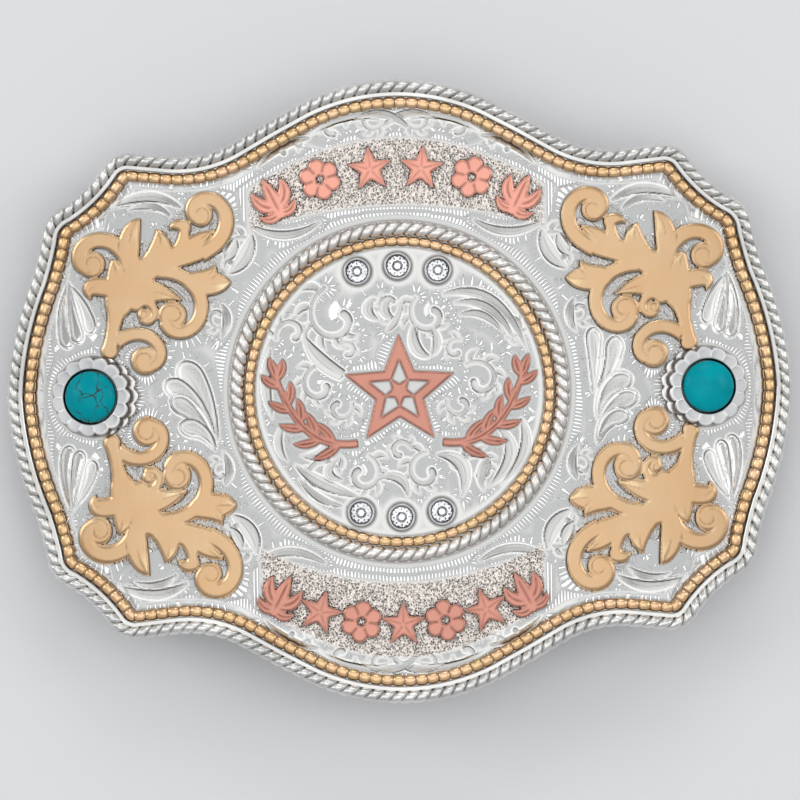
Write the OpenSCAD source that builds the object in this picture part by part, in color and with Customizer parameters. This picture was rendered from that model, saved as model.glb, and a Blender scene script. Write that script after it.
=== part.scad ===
// Western trophy buckle, lying face up on its belt loop and belt hook.
// +Z is up through the face, +X is to the right of the face, +Y is its top. Millimetres.

/* [Plate] */
// Half of the width over the rope edge
half_w = 57; // [52:0.5:62]
// Half of the height over the rope edge
half_h = 45; // [43:0.5:47]
// Thickness of the sheet
plate_t = 1.6; // [1.2:0.1:2.4]
// Radius that the face is bent to, about the Y axis
bend_r = 260; // [200:5:400]
// How far the sheet's edge stands inside the rope's outer edge
plate_inset = 0.4; // [0.2:0.1:1]

/* [Edge] */
// Diameter of the rope wire round the edge
rope_d = 2.4; // [2:0.1:2.8]
// Diameter of the beads beside it
bead_d = 1.6; // [1.3:0.1:1.8]
// Beads in the outer row
edge_bead_count = 190; // [160:2:200]
// Gap between pieces that are laid on each other
seat = 0.05; // [0.03:0.01:0.1]

/* [Centre ring] */
// Outer radius of the rope ring
ring_r = 24.6; // [23:0.1:26]
// Diameter of its rope wire
ring_rope_d = 2.1; // [1.8:0.1:2.4]
// Diameter of its beads
ring_bead_d = 1.44; // [1.2:0.02:1.6]
// Beads in the ring
ring_bead_count = 84; // [70:2:90]

/* [Overlays] */
// Thickness of the scroll overlays
scroll_t = 0.9; // [0.6:0.1:1.2]
// Thickness of the small applied pieces
motif_t = 0.7; // [0.5:0.1:1]
// Outer radius of the centre star
star_r = 8.3; // [6:0.1:9]
// Width of the centre star's frame
star_band = 1.4; // [1:0.1:2]

/* [Banners] */
// Radius of the arc that the upper row follows
top_arc_r = 40; // [36:1:46]
// Highest point of the upper row
top_arc_y = 32.3; // [30:0.1:33]
// Angle between neighbours in the upper row
top_step = 10.6; // [10:0.1:12]
// Radius of the arc that the lower row follows
low_arc_r = 38; // [34:1:44]
// Lowest point of the lower row, below the centre
low_arc_y = 33.6; // [31:0.1:34]
// Angle between neighbours in the lower row
low_step = 9.2; // [9:0.1:10]

/* [Settings] */
// Distance of each turquoise setting from the centre
setting_x = 44.3; // [43:0.1:45]
// Radius over the collar's petals
collar_r = 5.8; // [5.4:0.1:6]
// Petals round the collar
petals = 15; // [12:1:18]
// Radius of the turquoise
turquoise_r = 3.6; // [3:0.1:3.8]
// Outer radius of the small round bezels
bezel_r = 2.05; // [1.9:0.05:2.2]
// Radius of the round stones
stone_r = 1.5; // [1.3:0.05:1.55]

/* [Back] */
// Widest strap that the belt loop takes
belt_w = 38; // [30:1:40]
// Clear height between the loop's outer bar and the sheet
belt_gap = 6.5; // [5:0.1:9]
// Diameter of the belt loop's wire
loop_d = 3; // [2.4:0.1:3.6]
// Where the loop's bracket and its outer bar lie
bracket_x = -13; // [-16:1:-10]
bar_x = -34; // [-38:1:-30]
// Where the belt hook stands
hook_x = 27; // [22:1:32]
// Radius of the hook's post
hook_r = 2; // [1.6:0.1:2.4]
// Outward lean of the hook, in degrees
hook_lean = 12; // [0:1:20]

/* [Hidden] */

silver = [0.86, 0.86, 0.85];
aged_silver = [0.7, 0.7, 0.7];
bronze = [0.87, 0.68, 0.46];
copper = [0.84, 0.53, 0.44];
turquoise_blue = [0.02, 0.58, 0.6];
clear_stone = [0.9, 0.93, 0.95];

rope_r = rope_d / 2;
bead_r = bead_d / 2;
loop_r = loop_d / 2;
bead_inset = rope_d + 0.15 + bead_r;
back_at_bar = plate_t + bend_r - sqrt(bend_r * bend_r - bar_x * bar_x);
// Height of the face's middle over whatever the buckle lies on
face_z = back_at_bar + belt_gap + loop_d;
bar_z = loop_r;
axis_z = face_z - bend_r;
bend_fn = 720;
smooth_fn = 64;
cut_l = 2 * half_h + 20;

// The bent face: height over the middle of the bend at a distance h above the sheet
function lift(x, h = 0) = axis_z + sqrt(pow(bend_r + h, 2) - x * x);
function lean_at(x) = asin(x / bend_r);

// The outline's right upper quarter as arcs: end x, end y, radius.
// A positive radius bulges outward and a negative one is hollow.
OUTLINE_START = [0, half_h];
OUTLINE_ARCS = [
    [13.6, half_h - 3.1, 31.4],
    [23.6, half_h - 8.6, 200],
    [33, half_h - 10.4, -15.6],
    [38.4, half_h - 9.8, -200],
    [42.4, half_h - 11.8, 4.4],
    [48.3, half_h - 17.4, -20],
    [51.6, half_h - 22.1, 5.4],
    [half_w - 3.9, 17.3, -60],
    [half_w, 0, 50]];

function arc_through(p, q, r, step) =
    let (d = q - p, half = norm(d) / 2, left = [-d[1], d[0]] / norm(d),
        c = (p + q) / 2 - sign(r) * sqrt(r * r - half * half) * left,
        a0 = atan2(p[1] - c[1], p[0] - c[0]),
        sweep = -sign(r) * 2 * asin(half / abs(r)),
        n = max(1, ceil(abs(sweep) / step)))
    [for (i = [1:n]) c + abs(r) * [cos(a0 + sweep * i / n), sin(a0 + sweep * i / n)]];

function quarter(step) =
    [for (k = [0:len(OUTLINE_ARCS) - 1])
        let (row = OUTLINE_ARCS[k], from = k == 0 ? OUTLINE_START
                : [OUTLINE_ARCS[k - 1][0], OUTLINE_ARCS[k - 1][1]])
        each arc_through(from, [row[0], row[1]], row[2], step)];

// The whole outline, clockwise from the point after the top
function outline(step) =
    let (q = quarter(step), n = len(q))
    [each q,
     each [for (i = [n - 2:-1:0]) [q[i][0], -q[i][1]]], [0, -half_h],
     each [for (i = [0:n - 1]) [-q[i][0], -q[i][1]]],
     each [for (i = [n - 2:-1:0]) [-q[i][0], q[i][1]]], [0, half_h]];

function unit(v) = v / norm(v);
function inward(path, d) =
    let (n = len(path))
    [for (i = [0:n - 1])
        let (t = unit(path[(i + 1) % n] - path[(i + n - 1) % n]))
        path[i] + d * [t[1], -t[0]]];

// Distance along a closed path at each of its points, and n even steps along it
function run_to(path) =
    let (n = len(path))
    [for (i = 0, s = 0; i <= n; s = s + (i < n ? norm(path[(i + 1) % n] - path[i]) : 0), i = i + 1) s];
function evenly(path, count) =
    let (n = len(path), s = run_to(path),
        xs = [for (i = [0:n]) [s[i], path[i % n][0]]],
        ys = [for (i = [0:n]) [s[i], path[i % n][1]]])
    [for (k = [0:count - 1]) [lookup(s[n] * k / count, xs), lookup(s[n] * k / count, ys)]];
function circle_path(r, count) = [for (i = [0:count - 1]) r * [sin(360 * i / count), cos(360 * i / count)]];

// A closed wire laid on the face: the path seen from above, its radius at each point, its axis height
module wire_on_face(path, radii, h, sides) {
    n = len(path);
    mid = [for (p = path) [p[0], p[1], lift(p[0], h)]];
    points = [for (i = [0:n - 1])
        let (t = unit(mid[(i + 1) % n] - mid[(i + n - 1) % n]),
            up = unit([mid[i][0], 0, mid[i][2] - axis_z]),
            side = unit(cross(t, up)), over = cross(side, t),
            r = radii[i % len(radii)])
        for (j = [0:sides - 1])
            mid[i] + r * (cos(360 * j / sides) * side + sin(360 * j / sides) * over)];
    faces = [for (i = [0:n - 1], j = [0:sides - 1])
        let (a = i * sides, b = (i + 1) % n * sides, k = (j + 1) % sides)
        each [[a + j, a + k, b + k], [a + j, b + k, b + j]]];
    polyhedron(points = points, faces = faces);
}

// A sheet between two heights over the face, cut to the outline of the children
module laid(low, high) {
    bent(low, high) tall() children();
}

module tall() {
    translate([0, 0, -5]) linear_extrude(face_z + 15) children();
}

module bent(low, high) {
    intersection() {
        children();
        difference() {
            bend_cylinder(bend_r + high);
            bend_cylinder(bend_r + low);
        }
    }
}

module bend_cylinder(r) {
    translate([0, cut_l / 2, axis_z]) rotate([90, 0, 0]) cylinder(r = r, h = cut_l, $fn = bend_fn);
}

// Stands the children on the face at x, y, square to it
module on_face(x, y) {
    translate([0, y, axis_z]) rotate([0, lean_at(x), 0]) translate([0, 0, bend_r + seat]) children();
}

// Curls of the scroll overlay round their eyes:
// eye x, eye y, eye radius, start angle, sweep, start radius, end radius, start width, end width, easing
CURLS = [
    [43.9, 19.4, 1.9, 180, -226, 5.5, 0.7, 2.4, 1.9, 0.85],
    [27.8, 26.0, 1.7, 272, -292, 5.8, 0.8, 2.2, 1.9, 0.68],
    [32.4, 11.6, 2.0, 74, 240, 6.7, 1.4, 2.0, 1.9, 0.87],
    [36.5, 11.8, 0.9, 100, 190, 1.9, 0.8, 1.3, 0.9, 1.0],
    [36.6, 5.2, 2.0, 34, 178, 5.0, 1.4, 2.0, 1.6, 0.9]];
// Blades of the scroll overlay, each on a bend of three points:
// start x, start y, bend x, bend y, end x, end y, start width, middle width, end width
BLADES = [
    [41.75, 6.75, 41.1, 10.0, 40.2, 14.0, 2.3, 1.9, 3.6],
    [40.2, 12.8, 40.0, 17.4, 34.6, 18.8, 3.4, 4.6, 3.0],
    [39.0, 15.0, 35.4, 16.2, 30.0, 14.6, 4.4, 3.6, 0],
    [38.0, 13.4, 36.4, 14.4, 35.2, 13.2, 2.4, 1.6, 0.8],
    [35.5, 19.2, 31.5, 20.2, 28.0, 20.4, 3.2, 3.2, 2.0],
    [31.0, 20.8, 30.0, 23.0, 30.4, 24.7, 2.4, 1.6, 1.5],
    [30.0, 24.2, 31.4, 25.2, 32.4, 24.0, 1.8, 1.3, 0],
    [29.9, 21.2, 28.2, 22.4, 25.9, 23.7, 2.0, 1.9, 0],
    [34.4, 19.2, 33.1, 22.2, 34.3, 24.1, 4.0, 2.6, 0],
    [38.3, 18.2, 39.0, 23.8, 36.6, 25.8, 2.3, 2.9, 0],
    [29.6, 16.4, 26.6, 15.8, 23.8, 16.1, 2.4, 3.4, 0],
    [28.4, 16.8, 26.6, 17.0, 25.9, 18.6, 1.6, 1.6, 0],
    [41.2, 15.8, 45.4, 17.0, 44.2, 14.3, 2.6, 2.2, 0],
    [40.3, 15.8, 40.3, 18.6, 40.9, 20.0, 3.2, 2.2, 0]];
// How each overlay sits: name, side, top or bottom, shift x, shift y, turn
SCROLL_PLACES = [
    ["scroll_upper_left", -1, 1, 0.3, -0.1, -1],
    ["scroll_upper_right", 1, 1, 0.5, -0.3, -1],
    ["scroll_lower_left", -1, -1, 0, 0, 0],
    ["scroll_lower_right", 1, -1, 0.5, -0.3, -1]];
SCROLL_MID = [36, 16, 0];

// A standing stroke whose middle line has points p and whose width there is w
module stroke(p, w) {
    n = len(p) - 1;
    t = [for (i = [0:n]) unit(p[min(i + 1, n)] - p[max(i - 1, 0)])];
    last = w[n] > 0.05 ? n : n - 1;
    tall() polygon([
        each [for (i = [0:last]) p[i] + w[i] / 2 * [-t[i][1], t[i][0]]],
        each last < n ? [p[n]] : [],
        each [for (i = [last:-1:0]) p[i] - w[i] / 2 * [-t[i][1], t[i][0]]]]);
}

module curl(c, step = 15) {
    eye = [c[0], c[1]];
    n = ceil(abs(c[4]) / step);
    stroke([for (i = [0:n]) let (u = i / n, a = c[3] + c[4] * u, r = c[5] + (c[6] - c[5]) * pow(u, c[9]))
                eye + r * [cos(a), sin(a)]],
           [for (i = [0:n]) c[7] + (c[8] - c[7]) * i / n]);
    tall() translate(eye) circle(r = c[2], $fn = smooth_fn);
}

function bend_point(b, u) =
    pow(1 - u, 2) * [b[0], b[1]] + 2 * u * (1 - u) * [b[2], b[3]] + u * u * [b[4], b[5]];
function bend_width(b, u) =
    pow(1 - u, 2) * b[6] + 2 * u * (1 - u) * (2 * b[7] - (b[6] + b[8]) / 2) + u * u * b[8];
module blade(b, n = 9) {
    stroke([for (i = [0:n]) bend_point(b, i / n)], [for (i = [0:n]) bend_width(b, i / n)]);
}

module scroll_shape() {
    for (c = CURLS) curl(c);
    for (b = BLADES) blade(b);
    tall() translate([BLADES[0][0], BLADES[0][1]]) circle(d = BLADES[0][6], $fn = smooth_fn);
}

module scroll(row) {
    color(bronze) bent(seat, seat + scroll_t)
        mirror([row[1] < 0 ? 1 : 0, 0, 0]) mirror([0, row[2] < 0 ? 1 : 0, 0])
            translate(SCROLL_MID + [row[3], row[4], 0]) rotate(row[5]) translate(-SCROLL_MID) scroll_shape();
}

module base_plate() {
    color(silver) laid(-plate_t, 0) polygon(inward(outline(5), plate_inset));
}

module edge_rope() {
    color(silver) wire_on_face(inward(outline(10), rope_r), [rope_r], rope_r + seat, 8);
}

module edge_beads() {
    color(bronze) wire_on_face(evenly(inward(outline(4), bead_inset), 2 * edge_bead_count),
        [bead_r, bead_r * 0.6], bead_r + seat, 10);
}

module center_rope() {
    r = ring_rope_d / 2;
    color(aged_silver) wire_on_face(circle_path(ring_r - r, 56), [r], r + seat, 8);
}

module center_beads() {
    r = ring_bead_d / 2;
    color(bronze) wire_on_face(circle_path(ring_r - ring_rope_d - 0.1 - r, 2 * ring_bead_count),
        [r, r * 0.6], r + seat, 10);
}

// Round settings: heights of the foot, the neck and the petals, and the cup for the stone
foot_t = 0.8;
petal_low = 1.5;
petal_high = 2.4;
cup_z = 1;
cup_r = turquoise_r + 0.15;

module petal_outline(r) {
    lobe = r * sin(180 / petals) * 1.02;
    circle(r = r - lobe, $fn = smooth_fn);
    for (i = [0:petals - 1]) rotate(360 * i / petals) translate([r - lobe, 0]) circle(r = lobe, $fn = 32);
}

module setting(side) {
    color(aged_silver) on_face(side * setting_x, 0) difference() {
        union() {
            linear_extrude(foot_t) petal_outline(collar_r);
            cylinder(r = collar_r - 0.9, h = petal_high, $fn = smooth_fn);
            translate([0, 0, petal_low]) linear_extrude(petal_high - petal_low) petal_outline(collar_r);
        }
        translate([0, 0, cup_z]) cylinder(r = cup_r, h = petal_high, $fn = smooth_fn);
    }
}

// A cabochon: a short straight girdle under a low dome
module turquoise(side) {
    girdle = 1.3;
    dome = 1.5;
    ball = (turquoise_r * turquoise_r + dome * dome) / (2 * dome);
    color(turquoise_blue) on_face(side * setting_x, 0) translate([0, 0, cup_z + seat]) {
        intersection() {
            cylinder(r = turquoise_r, h = girdle + dome + 1, $fn = smooth_fn);
            translate([0, 0, girdle + dome - ball]) sphere(r = ball, $fn = 128);
        }
    }
}

// Round stones in rows of three above and below the middle: distance out, and height of the middle one
STONE_X = 5.8;
STONE_Y = 18.1;
STONE_DROP = 0.7;
function stone_at(i) = [(i % 3 - 1) * STONE_X, (i < 3 ? 1 : -1) * (STONE_Y - (i % 3 == 1 ? 0 : STONE_DROP))];
bezel_h = 1.8;
ledge_z = 1;
girdle_z = 1.36;

module stone_bezel(i) {
    p = stone_at(i);
    color(aged_silver) on_face(p[0], p[1]) difference() {
        cylinder(r = bezel_r, h = bezel_h, $fn = smooth_fn);
        translate([0, 0, -1]) cylinder(r = stone_r - 0.4, h = bezel_h + 2, $fn = smooth_fn);
        translate([0, 0, ledge_z]) cylinder(r = stone_r + seat, h = bezel_h, $fn = smooth_fn);
    }
}

// A brilliant: an eight-sided table, a sixteen-sided girdle and a point below
module round_stone(i) {
    p = stone_at(i);
    girdle_t = 0.12;
    crown_h = 0.5;
    table_r = stone_r * 0.56;
    color(clear_stone) on_face(p[0], p[1]) hull() {
        translate([0, 0, girdle_z]) cylinder(r = stone_r, h = girdle_t, $fn = 16);
        translate([0, 0, girdle_z + girdle_t + crown_h]) cylinder(r = table_r, h = 0.02, $fn = 8);
        translate([0, 0, girdle_z + girdle_t + crown_h * 0.55]) rotate(22.5)
            cylinder(r = stone_r * 0.83, h = 0.02, $fn = 8);
        translate([0, 0, 0.2]) cylinder(r1 = 0.02, r2 = 0.04, h = 0.02, $fn = 8);
    }
}

function star_points(r, inner, tips = 5) =
    [for (i = [0:2 * tips - 1]) (i % 2 == 0 ? r : inner) * [sin(180 * i / tips), cos(180 * i / tips)]];

// The middle star is a band with a smaller solid star inside, whose tips run into the band's inner corners
star_in = 0.44;
small_star_in = 1.1;
tip_overlap = 0.4;
function star_edge(r) = r * star_in * sin(36) / norm([1 - star_in * cos(36), star_in * sin(36)]);
module center_star() {
    hole = star_r * (1 - star_band / star_edge(star_r));
    color(copper) laid(seat, seat + motif_t) {
        difference() {
            polygon(star_points(star_r, star_r * star_in));
            polygon(star_points(hole, hole * star_in));
        }
        rotate(180) polygon(star_points(hole * star_in + tip_overlap, small_star_in));
    }
}

// A laurel spray: a bent stem with pairs of leaves that shrink towards its tip
LAUREL_STEM = [6.2, -7.4, 14.6, -8.6, 17.9, 2.6, 1.1, 1, 0.7];
LAUREL_PAIRS = 5;
LAUREL_LEAF = 4.4;
module laurel(side) {
    color(copper) bent(seat, seat + motif_t) mirror([side < 0 ? 1 : 0, 0, 0]) {
        blade(LAUREL_STEM);
        for (k = [0:LAUREL_PAIRS - 1], turn = [-34, 34]) {
            u = 0.16 + 0.19 * k + (turn > 0 ? 0.05 : 0);
            leaf_on_stem(u, turn, LAUREL_LEAF - 0.3 * k);
        }
        leaf_on_stem(0.97, 0, LAUREL_LEAF - 1);
    }
}

module leaf_on_stem(u, turn, l) {
    p = bend_point(LAUREL_STEM, u);
    d = bend_point(LAUREL_STEM, u + 0.02) - bend_point(LAUREL_STEM, u - 0.02);
    translate([p[0], p[1], 0]) rotate(atan2(d[1], d[0]) + turn)
        blade([0, 0, l * 0.55, sign(turn) * l * 0.16, l, 0, 0.5, 1.25, 0], 7);
}

// Small applied pieces of the two rows: a sprig, a rosette and a star
module motif(kind) {
    if (kind == "star") tall() polygon(star_points(3.3, 1.45));
    if (kind == "rosette") tall() difference() {
        union() {
            circle(r = 1.7, $fn = smooth_fn);
            for (i = [0:5]) rotate(60 * i) translate([0, 1.85]) circle(r = 1.12, $fn = 32);
        }
        circle(r = 0.62, $fn = smooth_fn);
    }
    if (kind == "sprig") {
        blade([0, -3.1, 0, 0, 0, 3.3, 0.8, 2.0, 0], 7);
        for (s = [-1, 1]) {
            blade([0, -1.4, s * 2.6, -0.6, s * 2.3, 2.2, 1.0, 1.8, 0], 7);
            blade([0, -2.2, s * 1.8, -3.2, s * 2.9, -1.4, 1.0, 1.3, 0], 7);
        }
    }
}
TOP_ROW = ["sprig", "rosette", "star", "star", "rosette", "sprig"];
LOW_ROW = ["sprig", "star", "rosette", "star", "rosette", "star", "sprig"];

module top_motif(i) {
    a = (i - (len(TOP_ROW) - 1) / 2) * top_step;
    color(copper) bent(seat, seat + motif_t)
        translate([0, top_arc_y - top_arc_r, 0]) rotate(-a) translate([0, top_arc_r, 0]) motif(TOP_ROW[i]);
}

module low_motif(i) {
    a = (i - (len(LOW_ROW) - 1) / 2) * low_step;
    color(copper) bent(seat, seat + motif_t)
        translate([0, low_arc_r - low_arc_y, 0]) rotate(a) translate([0, -low_arc_r, 0]) motif(LOW_ROW[i]);
}

// The sheet's back, as the surface that the back hardware is fitted under
module under_sheet(l) {
    intersection() {
        children();
        translate([0, l / 2, axis_z]) rotate([90, 0, 0])
            cylinder(r = bend_r - plate_t - seat, h = l, $fn = bend_fn);
    }
}

// Bracket and belt loop: one plain piece, a barrel under the sheet and a wire frame that slopes
// down from it to the outer bar
barrel_r = 2.4;
barrel_l = 26;
pad_t = 0.8;
pad_w = 9;
pad_l = barrel_l + 4;
web_w = 3;
barrel_z = lift(bracket_x, -plate_t) - pad_t - barrel_r;
slope_l = sqrt(pow(bar_x - bracket_x, 2) + pow(barrel_z - bar_z, 2));
slope_a = atan((barrel_z - bar_z) / (bracket_x - bar_x));
loop_half = belt_w / 2 + 1 + loop_r;
corner_r = 3.5;

module belt_loop() {
    color(aged_silver) {
        under_sheet(cut_l) translate([bracket_x - pad_w / 2, -pad_l / 2, barrel_z + barrel_r])
            cube([pad_w, pad_l, pad_t + 2]);
        translate([bracket_x - web_w / 2, -barrel_l / 2, barrel_z]) cube([web_w, barrel_l, barrel_r + 0.1]);
        translate([bracket_x, barrel_l / 2, barrel_z]) rotate([90, 0, 0])
            cylinder(r = barrel_r, h = barrel_l, $fn = smooth_fn);
        translate([bracket_x, 0, barrel_z]) rotate([0, -slope_a, 0]) loop_wire();
    }
}

module loop_wire() {
    bar(0, -loop_half + corner_r, loop_half - corner_r);
    bar(-slope_l, -loop_half + corner_r, loop_half - corner_r);
    for (s = [-1, 1]) {
        translate([-corner_r, s * loop_half, 0]) rotate([0, -90, 0])
            cylinder(r = loop_r, h = slope_l - 2 * corner_r, $fn = smooth_fn);
        translate([-corner_r, s * (loop_half - corner_r), 0]) corner(s > 0 ? 0 : -90);
        translate([-slope_l + corner_r, s * (loop_half - corner_r), 0]) corner(s > 0 ? 90 : 180);
    }
}

module bar(x, y0, y1) {
    translate([x, y1, 0]) rotate([90, 0, 0]) cylinder(r = loop_r, h = y1 - y0, $fn = smooth_fn);
}

module corner(a) {
    rotate(a) rotate_extrude(angle = 90, $fn = smooth_fn) translate([corner_r, 0]) circle(r = loop_r, $fn = 32);
}

// Belt hook: a flange under the sheet and a leaning post with a square shoulder and a domed tip
flange_r = 5;
flange_t = 1.2;
shoulder_r = 3.4;
shoulder_l = 2.8;
dome_r = 3;
hook_top_z = lift(hook_x, -plate_t) - seat;
hook_l = (hook_top_z - dome_r) / cos(hook_lean);

module hook_post() {
    difference() {
        cylinder(r = hook_r, h = hook_l + dome_r, $fn = smooth_fn);
        difference() {
            translate([0, 0, hook_l]) cylinder(r = hook_r + 0.5, h = dome_r + 1, $fn = smooth_fn);
            translate([0, 0, hook_l]) sphere(r = dome_r, $fn = smooth_fn);
        }
    }
    cylinder(r = shoulder_r, h = shoulder_l, $fn = smooth_fn);
}

module belt_hook() {
    color(aged_silver) {
        under_sheet(cut_l) translate([hook_x, 0, hook_top_z - flange_t - 0.4])
            cylinder(r = flange_r, h = flange_t + 3, $fn = smooth_fn);
        intersection() {
            translate([hook_x, 0, hook_top_z]) rotate([0, 180 - hook_lean, 0]) hook_post();
            translate([hook_x - 20, -20, -5]) cube([40, 40, hook_top_z + 4.6]);
        }
    }
}

base_plate();
edge_rope();
edge_beads();
center_rope();
center_beads();
for (row = SCROLL_PLACES) scroll(row);
setting(-1);  // setting_left
setting(1);  // setting_right
turquoise(-1);  // turquoise_left
turquoise(1);  // turquoise_right
for (i = [0:5]) stone_bezel(i);
for (i = [0:5]) round_stone(i);
center_star();
laurel(-1);  // laurel_left
laurel(1);  // laurel_right
for (i = [0:5]) top_motif(i);
for (i = [0:6]) low_motif(i);
belt_loop();
belt_hook();
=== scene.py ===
"""Looks of a western trophy buckle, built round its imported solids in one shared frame.

Every shape below is worked out in millimetres over a face that is bent to a circle about the Y axis.
"""

import math

import bpy
import numpy as np
from bpy.props import FloatProperty, FloatVectorProperty, IntProperty, PointerProperty
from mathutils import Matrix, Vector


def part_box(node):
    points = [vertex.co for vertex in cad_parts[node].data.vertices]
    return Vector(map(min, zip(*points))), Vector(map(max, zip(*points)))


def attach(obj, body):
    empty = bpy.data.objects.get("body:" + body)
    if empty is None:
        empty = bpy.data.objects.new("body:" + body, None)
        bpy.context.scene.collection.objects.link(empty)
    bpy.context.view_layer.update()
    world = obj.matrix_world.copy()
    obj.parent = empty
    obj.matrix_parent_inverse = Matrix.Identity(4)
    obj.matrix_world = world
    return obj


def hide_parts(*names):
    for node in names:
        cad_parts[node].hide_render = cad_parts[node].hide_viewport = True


bl_info = {
    "name": "Western Buckle",
    "version": (1, 0, 0),
    "blender": (4, 5, 0),
    "location": "View3D > Sidebar > Buckle",
    "description": "Builds the surfaces, materials and stage of a western trophy buckle",
    "category": "Object",
}

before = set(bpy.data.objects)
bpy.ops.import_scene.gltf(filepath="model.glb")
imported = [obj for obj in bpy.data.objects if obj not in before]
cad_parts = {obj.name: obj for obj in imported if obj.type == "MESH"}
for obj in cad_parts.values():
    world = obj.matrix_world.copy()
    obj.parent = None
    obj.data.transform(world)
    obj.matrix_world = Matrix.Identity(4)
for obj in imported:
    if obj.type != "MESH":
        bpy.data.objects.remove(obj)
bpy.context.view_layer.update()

MM = 0.001
# Radius that the face is bent to, and the height of the bend's axis
BEND = 260.0
AXIS_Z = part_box("base_plate")[1].z / MM - BEND
# Gap under a piece that is laid on the face, and thickness of the sheet, the overlays and the copper pieces
SEAT, PLATE_T, SCROLL_T, MOTIF_T = 0.05, 1.6, 0.86, 0.66
# Half of the outline, and how far its rope and beads reach in from it
HALF_W, HALF_H, MARGIN = 57.0, 45.0, 4.9
# Radius of the edge's rope and beads, and how far in the rope, the plain strip and the beads lie
ROPE_R, BEAD_R = 1.2, 0.8
ROPE_INSET, STRIP_INSET, BEAD_INSET = 1.02, 2.14, 3.35
# How flat the edge rope is across, half the strip's height and half its width, and where the groove inside it lies
ROPE_FLAT, STRIP_H, STRIP_HALF, GROOVE_INSET = 0.81, 0.84, 0.32, 4.22
# The ring: its outer radius, the radius of its rope and beads, where the beads lie, and the field inside it
RING_R, RING_ROPE_R, RING_BEAD_R = 24.6, 1.05, 0.72
RING_BEADS_AT, FIELD_R = RING_R - 2.2 - RING_BEAD_R, RING_R - 4.3
# The turquoise settings: distance from the middle, radius, and how far their second plate is moved inwards
SETTING_X, COLLAR_R, PLATE_SHIFT = 44.3, 5.8, 1.05
# The small round settings in rows of three: distance apart, height of the middle one and of the others, and radius
STONE_X, STONE_HIGH, STONE_LOW, STONE_R = 5.8, 18.1, 17.4, 2.1
# A turquoise: its radius, the height of its foot and of its girdle over that, and the dome's height over the girdle
CABOCHON_R, CABOCHON_FOOT, GIRDLE_UP, DOME_UP = 3.68, 1.05, 1.3, 1.5
# Added to a stroke's half width for the arc on which its hatching goes round its ends
END_ARC = 0.9
# How far off a leaf its raised outline lies, and the depth of the banners' stippled ground
RAISED_AT, BANNER_DEPTH = 0.17, 0.10
# A value farther than any distance on the buckle's face that counts
FAR = 9.0
# Where the face is cut into parts on both sides of the middle
FACE_CUTS = 29, 47
# Boxes that hold a scroll overlay, the middle star, a laurel and a small piece about its own middle
SCROLL_BOX, STAR_BOX = ((22.5, 1.8), (48.5, 29.8)), ((-8.9, -7.6), (8.9, 9.0))
LAUREL_BOX, MOTIF_REACH = ((4.6, -11.2), (20.6, 7.4)), 4.2
# Steps of a rope in each lobe, sides round a rope's and a bead's section, and steps round the strip and the sheet
LOBE_STEPS, ROPE_SIDES, BEAD_SIDES, STRIP_STEPS, SHEET_STEPS = 7, 24, 14, 900, 480
# Steps round a petal of a collar and of its plate, a turquoise and a bezel
PETAL_STEPS, PLATE_STEPS, CABOCHON_STEPS, BEZEL_STEPS = 16, 12, 96, 64
# The stage, in metres: half the floor, and each light's name, place, width and power
FLOOR_HALF = 1.5
LIGHTS = [("overhead", (0.0, 0.0, 1.6), 1.8, 6.4), ("left", (-1.3, 0.5, 1.0), 0.8, 4.5),
          ("right", (1.3, 0.3, 1.0), 0.8, 3.5), ("top", (0.1, 1.4, 0.9), 0.7, 3.0)]
# The camera: its height over the face, the width that it sees there, its place and its roll, as in the photo
CAMERA_UP, VIEW_WIDTH = 0.9, 0.1154
CAMERA_X, CAMERA_Y, CAMERA_ROLL = 0.00005, -0.001227, math.radians(-1.0)
SENSOR = 36.0


class BuckleSizes(bpy.types.PropertyGroup):
    """Sizes that change how the surfaces are cut, in metres."""

    face_step: FloatProperty(
        name="Face step", description="Distance between neighbouring points of the engraved face",
        default=0.000185, min=0.00017, max=0.001, precision=5, subtype="DISTANCE", unit="LENGTH")
    piece_step: FloatProperty(
        name="Overlay step", description="Distance between neighbouring points of the applied pieces",
        default=0.00018, min=0.00015, max=0.0005, precision=5, subtype="DISTANCE", unit="LENGTH")
    cut_depth: FloatProperty(
        name="Leaf depth", description="Depth of the deep edge of an engraved leaf",
        default=0.00021, min=0.00005, max=0.00035, precision=5, subtype="DISTANCE", unit="LENGTH")
    bevel: FloatProperty(
        name="Bevel", description="Height that the edge of an applied piece falls by",
        default=0.00015, min=0.00005, max=0.0004, precision=5, subtype="DISTANCE", unit="LENGTH")
    hatch_pitch: FloatProperty(
        name="Hatch pitch", description="Distance between neighbouring cuts of the short hatching",
        default=0.00052, min=0.0004, max=0.001, precision=5, subtype="DISTANCE", unit="LENGTH")
    edge_lobes: IntProperty(
        name="Edge rope lobes", description="Strand crossings seen along the edge rope, an even number",
        default=184, min=120, max=220)
    ring_lobes: IntProperty(
        name="Ring rope lobes", description="Strand crossings seen along the ring's rope, an even number",
        default=88, min=60, max=120)
    edge_beads: IntProperty(
        name="Edge beads", description="Barrel beads in the outer row", default=190, min=150, max=220)
    ring_beads: IntProperty(
        name="Ring beads", description="Barrel beads in the ring", default=84, min=70, max=100)
    petals: IntProperty(
        name="Petals", description="Petals round each turquoise collar", default=15, min=12, max=18)


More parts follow.
